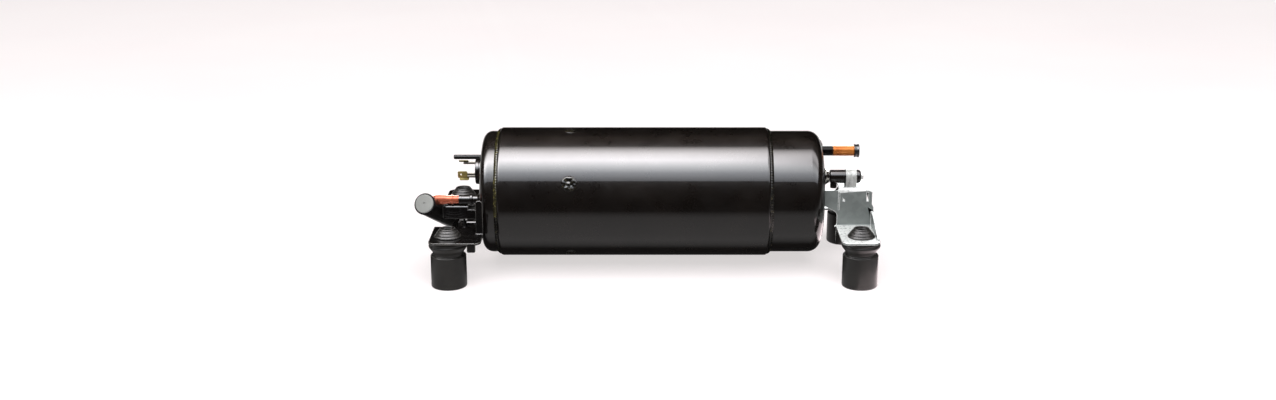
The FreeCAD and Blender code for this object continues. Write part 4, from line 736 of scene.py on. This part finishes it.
def pressed_cap(name, node, outward, bend):
    """A pressed cap: skirt, press radius, and a shallow raised face inside the radius."""
    low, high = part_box(node)
    face, skirt = (low.x, high.x) if outward < 0 else (high.x, low.x)
    step = FACE_STEP * outward
    inner = cap_radius - WALL
    profile = [(face, 0), (face, FACE_STEP_RADIUS - 3 * MM), (face - step, FACE_STEP_RADIUS - 1.4 * MM),
               (face - step, cap_radius), (skirt, cap_radius), (skirt, inner), (face - WALL * outward, inner),
               (face - WALL * outward, 0)]
    rounds = {3: bend - FACE_STEP, 6: bend * 0.6, 1: 0.9 * MM, 2: 0.9 * MM}
    cap = lathe(profile, rounds, steps=160, segments=9)
    dress(name, set_down(cap, on_axis), black_gloss, "housing", node)


pressed_cap("pressed_terminal_cap", "terminal_end_cap", -1, 9 * MM)
pressed_cap("pressed_discharge_cap", "discharge_end_cap", 1, 12 * MM)

# %% [markdown]
# ## Weld beads
# The seam between barrel and cap is one run of weld. A real bead is laid as a chain of overlapping
# crescents, and it wanders by a few tenths of a millimetre. We spin a small fillet and then push its outer
# ring in and out with two sine waves, one for the ripples and one for the wander. The upper part of the
# terminal seam gets the paler olive paint, partly a painted highlight where the light falls on the seam's
# top, and below it the plain weld paint is used again.

# %% Run the seam welds
RIPPLES = 150
RIPPLE_HEIGHT, WANDER = 0.16 * MM, 0.12 * MM
THROAT, LAP, SINK = 2.1 * MM, 0.3 * MM, 0.1 * MM
SEAM_HIGHLIGHT_DROP = 9 * MM


def seam(corner_x, away):
    """A rippled fillet in the corner between the barrel's end and a cap."""
    profile = [(corner_x - away * LAP, cap_radius - SINK), (corner_x - away * LAP, cap_radius + THROAT),
               (corner_x + away * THROAT * 0.45, cap_radius + THROAT * 0.78),
               (corner_x + away * THROAT * 0.95, cap_radius + THROAT * 0.34),
               (corner_x + away * THROAT * 1.25, cap_radius - SINK)]
    bead = lathe(profile, steps=RIPPLES * 4)
    for vert in bead.verts:
        radius = math.hypot(vert.co.y, vert.co.z)
        if radius < cap_radius + THROAT * 0.2:
            continue
        turn = math.atan2(vert.co.z, vert.co.y)
        lift = RIPPLE_HEIGHT * math.sin(RIPPLES * turn) + WANDER * math.sin(7 * turn + away)
        scale = (radius + lift) / radius
        vert.co.y *= scale
        vert.co.z *= scale
    return set_down(bead, on_axis)


seams = seam(shell_low.x, -1)
join(seams, seam(shell_high.x, 1))
# upper part of the terminal seam: painted highlight over the weld's olive tint
for face in seams.faces:
    middle = face.calc_center_median()
    if middle.x < 0 and middle.z > shell_axis.z - SEAM_HIGHLIGHT_DROP:
        face.material_index = 1
dress("seam_weld_beads", seams, painted_weld, "housing", "seam_welds", sharp=60, edge_finish=seam_tint_and_highlight)

# %% [markdown]
# A plug weld holds the pump to the shell. The welder fills a round hole, and the pool freezes as a raised
# ring round a shallow crater with a nipple in its middle. The pool leans, because the torch leaves on one
# side. Each one is a little different, so a smooth noise from the mathutils library moves the points of a
# fine disc, seeded by its size, and a slope across the disc gives the lean.

# %% Fill the plug welds
# degrees above the near side, radius and crown in millimetres
WELDS = ((84, 4.9, 1.1), (22.4, 7.1, 1.6), (-55, 5.2, 1.2), (-128, 5.0, 1.2), (157, 5.0, 1.2))
WELD_FOOT = 0.1 * MM
WELD_SINK = 0.15 * MM
pump_x = sum(corner.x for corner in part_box("plug_welds")) / 2


def frozen_pool(radius, crown):
    """One plug weld about X: from the root out to the toe and in to the nipple, then roughened."""
    profile = [(-2 * MM, 0), (-2 * MM, radius), (WELD_FOOT, radius), (crown * 0.45, radius * 0.95),
               (crown * 0.8, radius * 0.84), (crown, radius * 0.66), (crown * 0.9, radius * 0.52),
               (crown * 0.7, radius * 0.4), (crown * 0.66, radius * 0.24), (crown * 0.84, radius * 0.13),
               (crown * 0.95, 0)]
    pool = lathe(profile, steps=40)
    long_edges = [edge for edge in pool.edges if edge.calc_length() > 0.5 * MM]
    bmesh.ops.subdivide_edges(pool, edges=long_edges, cuts=1, use_grid_fill=True, smooth=0.0)
    seed = radius * 9000
    for vert in pool.verts:
        if vert.co.x > WELD_FOOT:
            wave = soft_noise.noise(vert.co * 420 + Vector((seed, 0, 0)))
            lean = (vert.co.z - vert.co.y) / radius
            vert.co.x = vert.co.x * (0.72 + 0.24 * lean) + wave * crown * 0.3
            vert.co.yz *= 1 + 0.05 * soft_noise.noise(vert.co * 230 + Vector((0, seed, 0)))
    return pool


pools = bmesh.new()
for degrees, size, crown in WELDS:
    outwards = Matrix.Rotation(-math.pi / 2, 4, "Z") @ Matrix.Rotation(-math.radians(degrees), 4, "Y")
    on_skin = Matrix.Translation((shell_radius - WELD_SINK, 0, 0))
    join(pools, set_down(frozen_pool(size * MM, crown * MM), at_height(pump_x, 0, 0) @ outwards @ on_skin))
dress("plug_weld_pools", pools, painted_weld, "housing", "plug_welds", sharp=180)

# %% [markdown]
# ## Rubber feet
# Each foot is one moulded rubber grommet. A straight post stands on the floor, a flared double bead carries
# the bracket's plate from below, a neck passes through the hole, and a ribbed dome above is squeezed
# through the hole from below and then locks. The dome ends in a raised lip round the bolt's hole. One
# profile, spun, gives all of it.

# %% Mould the feet
UPRIGHT = Matrix.Rotation(-math.pi / 2, 4, "Y")
FOOT_NODES = ("terminal_near_foot", "terminal_far_foot", "discharge_near_foot", "discharge_far_foot")
PLATE_LOW, PLATE_HIGH = 43.42, 45.57
FOOT_PROFILE = [(0, 4.25), (0, 15.9), (28.6, 15.75), (29.3, 15.2), (29.6, 13.6), (31.6, 13.2), (36.6, 16.8),
                (38.2, 17.4), (39.5, 16.5), (41.2, 17.0), (43, 15.6), (PLATE_LOW, 9.3), (PLATE_HIGH, 9.3),
                (PLATE_HIGH, 12.1), (46.9, 11.9), (47.5, 10.9), (49.1, 10.3), (49.7, 9.2), (51.2, 8.6),
                (51.8, 7.6), (53.4, 7.0), (53.4, 5.6), (51.2, 5.1), (50.4, 4.25)]
FOOT_ROUNDS = {1: 1.4, 3: 0.5, 4: 0.4, 5: 1.6, 7: 0.7, 8: 0.4, 9: 0.7, 10: 0.6, 13: 0.5, 14: 0.8, 15: 0.3,
               16: 0.7, 17: 0.3, 18: 0.6, 19: 0.3, 20: 0.6, 21: 0.5}

for node in FOOT_NODES:
    low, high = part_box(node)
    middle = (low + high) / 2
    foot = turned(FOOT_PROFILE, FOOT_ROUNDS, segments=4)
    set_down(foot, Matrix.Translation((middle.x, middle.y, 0)) @ UPRIGHT)
    dress("moulded_" + node, foot, foot_rubber, "housing", node, sharp=50)

# %% [markdown]
# ## Accumulator and suction elbow
# The accumulator is a short tank of spun tube with a nib at its far end. Its open mouth is rolled to a thin
# rim, which gets a dull, unreflective black as painted shade for the dark gap round the plug, and a grey
# plug with a gate mark in its middle keeps the dirt out until the line is brazed on. Both are spun on one
# axis, so the plug fits its mouth wherever the tank points.

# %% Spin the accumulator and its plug
terminal_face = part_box("terminal_end_cap")[0].x
TANK_RADIUS, TANK_BORE, TANK_LENGTH = 9.73, 8.55, 84
TANK_SKIN = TANK_RADIUS - 0.25
NIB_END = TANK_LENGTH + 5
MOUTH_DEPTH = 1.9 * MM
TANK_X, TANK_Y, TANK_RISE = 47.9, -50, 2.5
TANK_TURN, TANK_FALL = math.radians(74.6), math.radians(26.4)
tank_place = at_height(terminal_face - TANK_X * MM, TANK_Y, TANK_RISE) \
    @ Matrix.Rotation(TANK_TURN, 4, "Z") @ Matrix.Rotation(TANK_FALL, 4, "Y")
tank = turned([(0, TANK_BORE), (0, TANK_RADIUS), (1.6, TANK_RADIUS), (2.2, TANK_SKIN),
               (TANK_LENGTH, TANK_SKIN), (TANK_LENGTH + 0.4, 2.6), (NIB_END, 2.3), (NIB_END, 0),
               (TANK_LENGTH - 1.2, 0), (TANK_LENGTH - 1.2, 8.5), (2, TANK_BORE)],
              {1: 0.45, 2: 0.3, 4: 4.2, 5: 1.2, 6: 0.9}, steps=120)
# the rim of the mouth takes the dull black, painted shade round the plug
for face in tank.faces:
    if face.calc_center_median().x < MOUTH_DEPTH:
        face.material_index = 1
dress("spun_accumulator", set_down(tank, tank_place), black_gloss, "housing", "suction_accumulator",
      edge_finish=lip_painted_shade)

spin_piece("accumulator_mouth_plug", "suction_plug", grey_rubber, tank_place,
           [(-0.9, 0), (-0.9, 0.75), (-1.25, 0.95), (-1.6, 1.25), (-1.6, 7.9), (-0.9, 8.45), (-0.05, 8.45),
            (-0.05, 8.4), (7, 7.95), (7, 0)], {3: 0.2, 4: 0.5, 5: 0.3}, body="suction_cap_plug")

# %% [markdown]
# Pipe is bent round a former, and its mouth can be flared or beaded on the way. So a pipe is described by
# stations along its path, each a place and a radius. A circle is set at every station and the loops are
# bridged in order, out along the skin and back along the bore.

# %% Bend the suction elbow
def pipe(path, skin, wall, around=56):
    """A pipe through (distance, radius) stations; path gives the place at a distance, in millimetres."""
    bm = bmesh.new()
    rings = []
    for along, radius in [*skin, *((along, radius - wall) for along, radius in reversed(skin))]:
        ring = bmesh.ops.create_circle(bm, segments=around, radius=radius * MM, matrix=path(along))["verts"]
        rings.append({edge for vert in ring for edge in vert.link_edges})
    for first, second in zip(rings, rings[1:] + rings[:1]):
        bmesh.ops.bridge_loops(bm, edges=[*first, *second])
    return bm


STUB_REACH, STUB_Y, STUB_RISE = 19, -35, 2.1
ELBOW_RUN, ELBOW_BEND, ELBOW_TURN = 18.12, 8.0, math.radians(39.6)
ELBOW_ROLL = math.radians(-24.2)
elbow_place = at_height(terminal_face - STUB_REACH * MM, STUB_Y, STUB_RISE) \
    @ Matrix.Rotation(math.pi, 4, "Z") @ Matrix.Rotation(ELBOW_ROLL, 4, "X")


def elbow_path(along):
    """The place of the pipe's section: straight, then round the bend, then straight again."""
    turn = min(max((along - ELBOW_RUN) / ELBOW_BEND, 0), ELBOW_TURN)
    spot = Vector((min(along, ELBOW_RUN) + ELBOW_BEND * math.sin(turn), ELBOW_BEND * (1 - math.cos(turn)), 0))
    spot += Vector((math.cos(turn), math.sin(turn), 0)) * max(0, along - ELBOW_RUN - ELBOW_BEND * ELBOW_TURN)
    return elbow_place @ Matrix.Translation(spot * MM) @ Matrix.Rotation(turn, 4, "Z") \
        @ Matrix.Rotation(math.pi / 2, 4, "Y")


ELBOW_SKIN = [(-1, 3.62), (-0.6, 3.72), (4.4, 3.7), (4.9, 3.95), (5.6, 4.3), (6.4, 4.35), (7.1, 4.0),
              (7.5, 3.76), (9.6, 3.8), (11.2, 4.15), (12.2, 4.45), (13.4, 4.55), (18.1, 4.6), (19.3, 4.62),
              (20.5, 4.64), (21.7, 4.66), (22.9, 4.68), (24.1, 4.7), (29, 4.8)]
dress("bent_suction_elbow", pipe(elbow_path, ELBOW_SKIN, 0.8), copper_elbow, "housing", "suction_elbow",
      sharp=60)

# %% [markdown]
# The steel stub comes through the cap and is painted with the shell. A bead of braze closes it to the cap,
# and a pressed collar stiffens it. The bead is part of the stub's own profile, because paint hides where
# one ends.

# %% Set the suction stub
stub_place = at_height(terminal_face, STUB_Y, STUB_RISE)
spin_piece("suction_stub_tube", "suction_stub", black_gloss, stub_place,
           [(-STUB_REACH, 3.02), (-STUB_REACH, 4.0), (-18.4, 4.25), (-16.6, 4.25), (-16, 4.0), (-3.4, 4.0),
            (-1.4, 4.9), (0.1, 6.4), (0.1, 4.0), (5.2, 4.0), (5.2, 3.02)], {2: 0.2, 3: 0.2, 6: 1.2}, steps=72,
           sharp=55)
spin_piece("suction_stub_collar", "suction_collar", black_gloss, stub_place,
           [(-9.1, 4.05), (-9.1, 5.5), (-6.4, 5.5), (-6.4, 4.05)], {1: 0.9, 2: 0.9}, steps=72)

# %% [markdown]
# ## Discharge line
# The copper discharge tube is brazed into a steel boss. The braze and the paint over it leave a lumpy ring,
# so the spun ring is cut finer and a slow noise pushes its points about. The rubber plug on the tube's end
# has a rolled rim at both sides.

# %% Braze the discharge tube
discharge_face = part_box("discharge_end_cap")[1].x
DISCHARGE_Y, DISCHARGE_RISE = 20, 33
discharge_place = at_height(discharge_face, DISCHARGE_Y, DISCHARGE_RISE)


def roughen(bm, lump, scale, from_x, seed):
    """Push the points beyond from_x in and out round X, so that a spun ring looks laid by hand."""
    for vert in bm.verts:
        if vert.co.x > from_x and math.hypot(vert.co.y, vert.co.z) > 5 * MM:
            wave = soft_noise.noise(vert.co * scale + Vector((seed, 0, 0)))
            vert.co.yz *= 1 + wave * lump
            vert.co.x += wave * lump * 4 * MM


boss = turned([(-0.4, 4.8), (-0.4, 10.4), (0.5, 10.5), (1.0, 9.9), (1.7, 8.9), (2.3, 7.4), (3.1, 6.2),
               (3.1, 4.8)], {})
bmesh.ops.subdivide_edges(boss, edges=boss.edges[:], cuts=1)
roughen(boss, lump=0.05, scale=300, from_x=0.2 * MM, seed=3.0)
dress("brazed_discharge_boss", set_down(boss, discharge_place), painted_weld, "housing", "discharge_boss",
      sharp=180)
spin_piece("drawn_discharge_tube", "discharge_tube", copper_discharge, discharge_place,
           [(-7.2, 3.96), (-7.2, 4.76), (32.2, 4.76), (32.2, 3.96)], {2: 0.2}, steps=72)
spin_piece("discharge_mouth_plug", "discharge_plug", black_rubber, discharge_place,
           [(25.2, 0), (25.2, 3.4), (32.25, 3.85), (32.25, 6.0), (33.0, 6.2), (33.5, 5.75), (35.2, 5.75),
            (35.8, 6.2), (36.8, 6.1), (36.8, 3.2), (36.2, 2.4), (36.2, 0)],
           {3: 0.3, 4: 0.3, 5: 0.4, 6: 0.4, 7: 0.4, 8: 0.6, 9: 0.3}, steps=72, body="discharge_cap_plug")

# %% [markdown]
# The process tube is a black capsule with a spun shoulder, a short neck into the cap and a side branch
# below. Its charging nib is soldered shut, so the nib's tip is a small bright dome.

# %% Spin the process tube
PROCESS_Y, PROCESS_RISE = -22, 20
process_place = at_height(discharge_face, PROCESS_Y, PROCESS_RISE)
capsule = turned([(-5.2, 0), (-5.2, 3.2), (-0.2, 3.2), (0.1, 5.2), (1.6, 3.5), (5.7, 3.3), (5.9, 6),
                  (33.9, 6), (33.9, 3.0), (32.4, 3.0), (32.4, 0)], {3: 0.6, 6: 1.0, 7: 2.8, 8: 0.2})
branch = turned([(0, 0), (0, 3), (10.5, 3), (10.5, 0)], {2: 0.5}, steps=64)
set_down(branch, Matrix.Translation((9.5 * MM, 0, 0)) @ Matrix.Rotation(math.pi / 2, 4, "Y"))
join(capsule, branch)
dress("spun_process_tube", set_down(capsule, process_place), black_gloss, "housing", "process_tube")
spin_piece("process_tube_collar", "process_collar", nickel_steel, process_place,
           [(0.4, 3.25), (0.4, 6.6), (1.2, 7.3), (2.2, 7.4), (3.1, 6.6), (5.3, 5.4), (5.3, 3.25)],
           {1: 0.3, 2: 0.4, 3: 0.6, 4: 0.5, 5: 0.5}, steps=84)
spin_piece("process_tube_nib", "process_nib", zinc_bright, process_place,
           [(32.5, 0), (32.5, 2.8), (34.3, 2.8), (34.5, 2.4), (36.2, 2.4), (36.2, 0)], {2: 0.3, 4: 1.3},
           steps=56)

# %% [markdown]
# ## Sheet-metal pieces
# The brackets, the saddle and the strap keep their CAD outlines. A pressed sheet has no sharp edge
# anywhere, though: shearing leaves a small round and every fold has a radius. They could be drawn again,
# but a copy of the node that is merged and dissolved back to its flat faces already has the right holes and
# slots. The folds are then rounded one by one, and a bevel modifier softens every edge that is left.

# %% Sheet-metal helpers
def copy_node(name):
    """The node's mesh, merged and dissolved to its plain faces, in the object's frame."""
    bm = bmesh.new()
    bm.from_mesh(nodes[name].data)
    bm.transform(nodes[name].matrix_world)
    bmesh.ops.remove_doubles(bm, verts=bm.verts, dist=MERGE_GAP)
    bmesh.ops.dissolve_limit(bm, angle_limit=math.radians(0.6), verts=bm.verts, edges=bm.edges)
    return bm


def fold(bm, radius, test, segments=6, finish=-1):
    """Round the straight edges whose two ends both pass the test, as a press brake does."""
    edges = [edge for edge in bm.edges if all(test(vert.co) for vert in edge.verts)]
    bmesh.ops.bevel(bm, geom=edges, offset=radius, offset_type="OFFSET", affect="EDGES", segments=segments,
                    profile=0.5, material=finish, clamp_overlap=False)
    print("folded", len(edges), "edges")


def near(number, wanted, slack=0.06 * MM):
    return abs(number - wanted) < slack


# %% [markdown]
# The zinc plated bracket has a leg whose crest reaches up under the process tube, and a plate for each
# foot. Light catches its crest, its level plates and its softened edges, so those are painted a paler zinc
# as a painted highlight, and a thin rim stands along the leg's sheared front edge. The functions below find
# each fold by where its ends lie.

# %% Fold the discharge end bracket
SHEET = 2.3 * MM
CREST_DROP = 8.1
FOOT_PLATE_TOP = 45.5 * MM
LEG_SPLIT = 60 * MM
leg_front = -32.3 * MM
leg_top = shell_axis.z + (PROCESS_RISE - CREST_DROP) * MM
leg_start = discharge_face + 13.7 * MM


def leg_crest(spot):
    return near(spot.y, leg_front) and near(spot.z, leg_top)


def leg_crest_inside(spot):
    return near(spot.y, leg_front + SHEET) and near(spot.z, leg_top - SHEET)


def leg_foot(spot):
    return near(spot.y, leg_front, 1.1 * MM) and near(spot.z, FOOT_PLATE_TOP) and spot.x > leg_start - 3 * MM


zinc_bracket = copy_node("discharge_end_bracket")
fold(zinc_bracket, 3.6 * MM, leg_crest, segments=8, finish=1)
fold(zinc_bracket, 2.6 * MM, leg_crest_inside)
fold(zinc_bracket, 2.4 * MM, leg_foot)
rim = bmesh.ops.create_cube(zinc_bracket, size=1)["verts"]
rim_low = Vector((leg_start - 0.9 * MM, leg_front - 0.6 * MM, LEG_SPLIT))
rim_high = Vector((leg_start + 0.9 * MM, leg_front + 0.6 * MM, leg_top - 3.2 * MM))
bmesh.ops.scale(zinc_bracket, verts=rim, vec=rim_high - rim_low)
bmesh.ops.translate(zinc_bracket, verts=rim, vec=(rim_low + rim_high) / 2)
# level plates, lit from above, take the paler zinc as a painted highlight
for face in zinc_bracket.faces:
    if face.normal.z > 0.8 and face.calc_center_median().z < LEG_SPLIT:
        face.material_index = 1
dress("folded_discharge_bracket", zinc_bracket, zinc_plate, "housing", "discharge_end_bracket",
      edge=0.45 * MM, sharp=35, edge_finish=zinc_painted_highlight)

# %% [markdown]
# The black bracket is folded the same way. Its softened edges get a paler grey enamel, a painted highlight
# that draws its outline in grey where light would catch the edges.

# %% Fold the terminal end bracket
arm_front = -38 * MM
arm_top = shell_axis.z - 2.5 * MM


def arm_crest(spot):
    return near(spot.y, arm_front) and near(spot.z, arm_top)


black_bracket = copy_node("terminal_end_bracket")
fold(black_bracket, 3.2 * MM, arm_crest)
# softened edges take the paler grey enamel, a painted highlight
dress("folded_terminal_bracket", black_bracket, bracket_black, "housing", "terminal_end_bracket",
      edge=0.5 * MM, sharp=40, edge_finish=edge_highlight_enamel)

# %% [markdown]
# The small parts need no fold of their own, only a soft edge whose width suits the part's size.

# %% Soften the saddle, the strap and the small parts
for node, finish, edge in (("accumulator_saddle", bracket_black, 0.5), ("tube_strap", zinc_bright, 0.3),
                           ("strap_screw", zinc_bright, 0.25), ("saddle_nut", black_gloss, 0.4),
                           ("terminal_tabs", tab_brass, 0.12)):
    dress("soft_" + node, copy_node(node), finish, "housing", node, edge=edge * MM, sharp=40)

# %% [markdown]
# ## Terminal
# The hermetic terminal is a small steel cup, painted with the shell, whose rolled rim is welded over the
# hole in the cap. Its three pins stand in beads of glass, which keep their CAD shape. The cover's stud and
# the spacer that holds the accumulator's saddle are spun the same way.

# %% Spin the terminal cup, the cover's stud and the spacer
TERMINAL_RISE = 19
COVER_STUD_Y, COVER_STUD_RISE = 20, 27
SPACER_Y, SPACER_RISE = -12, -27.9
BRACKET_GAP = 0.02 * MM
stud_place = at_height(terminal_face, COVER_STUD_Y, COVER_STUD_RISE)
spacer_place = at_height(terminal_face - SHEET - BRACKET_GAP, SPACER_Y, SPACER_RISE)
spin_piece("rolled_terminal_cup", "terminal_body", black_gloss, at_height(terminal_face, 0, TERMINAL_RISE),
           [(9, 9), (9, 10.4), (0.1, 10.4), (-0.1, 12.9), (-2.4, 12.9), (-3.6, 12.0), (-6.7, 11.7),
            (-6.7, 10.2), (-5.5, 9.6), (-5.5, 0), (-4.0, 0), (-4.0, 9)],
           {3: 0.4, 4: 0.9, 5: 0.6, 6: 0.7, 7: 0.5, 8: 0.4})
spin_piece("terminal_cover_pin", "terminal_cover_stud", thread_black, stud_place,
           [(-29, 0), (-29, 1.5), (-28.4, 2.1), (-2.6, 2.1), (-1.8, 3.1), (-0.1, 3.1), (-0.1, 0)],
           {1: 0.2, 2: 0.3, 4: 0.3, 5: 0.2}, steps=48)
spin_piece("saddle_spacer_stud", "saddle_stud", black_gloss, spacer_place,
           [(-20.5, 0), (-20.5, 2.9), (-20.0, 3.4), (-14.4, 3.4), (-14.0, 3.0), (-13.4, 3.0), (-13.0, 3.4),
            (-1.4, 3.4), (-0.6, 4.4), (0, 4.4), (0, 0)],
           {2: 0.3, 3: 0.2, 4: 0.2, 5: 0.2, 6: 0.2, 7: 0.4, 8: 0.3}, steps=56)

# %% [markdown]
# ## Dress the CAD nodes
# Pieces whose CAD shape is already right keep it and only get their finish. One table pairs each finish
# with its nodes. The nodes that a dressed piece stands for are in it too, so that every node has a finish
# of its own.

# %% Give every node its finish
FINISHES = {
    black_gloss: ["shell_barrel", "terminal_end_cap", "discharge_end_cap", "discharge_boss",
                  "suction_accumulator", "saddle_nut"],
    painted_weld: ["plug_welds", "seam_welds"],
    black_satin: ["suction_stub", "suction_collar", "process_tube", "process_collar"],
    bracket_black: ["terminal_end_bracket", "accumulator_saddle"],
    terminal_steel: ["terminal_body", "terminal_cover_stud", "saddle_stud"],
    pin_steel: ["terminal_pins"],
    sealing_glass: ["terminal_glass_seals"],
    tab_brass: ["terminal_tabs"],
    nickel_steel: ["process_nib"],
    copper_elbow: ["suction_elbow"],
    copper_discharge: ["discharge_tube"],
    copper_inner: ["inner_suction_pipe", "oil_pickup_pipe"],
    grey_rubber: ["suction_plug"],
    black_rubber: ["discharge_plug"],
    foot_rubber: ["terminal_near_foot", "terminal_far_foot", "discharge_near_foot", "discharge_far_foot"],
    zinc_bright: ["tube_strap", "strap_screw"],
    zinc_plate: ["discharge_end_bracket"],
    grey_iron: ["pump_cylinder", "main_bearing", "sub_bearing"],
    dark_steel: ["pump_bolts", "rotor_rivets"],
    hard_steel: ["vane", "valve_rivet"],
    ground_steel: ["crankshaft", "roller"],
    spring_steel: ["vane_spring", "discharge_reed"],
    bare_sheet: ["valve_stop", "muffler_cover", "oil_cover"],
    lamination: ["stator_core", "rotor_core"],
    magnet_grey: ["rotor_magnets"],
    cast_end_ring: ["rotor_end_plates"],
    balance_brass: ["balance_weight_pump", "balance_weight_far"],
    enamelled_copper: ["stator_windings"],
    connector_plastic: ["lead_connector"],
    lead_insulation: ["motor_leads"],
}
for finish, names in FINISHES.items():
    for name in names:
        nodes[name].data.materials.clear()
        nodes[name].data.materials.append(finish)
        (enamelled if finish in ENAMELS else plated).objects.link(nodes[name])
undressed = set(nodes) - {name for names in FINISHES.values() for name in names}
print("nodes without a finish:", sorted(undressed))
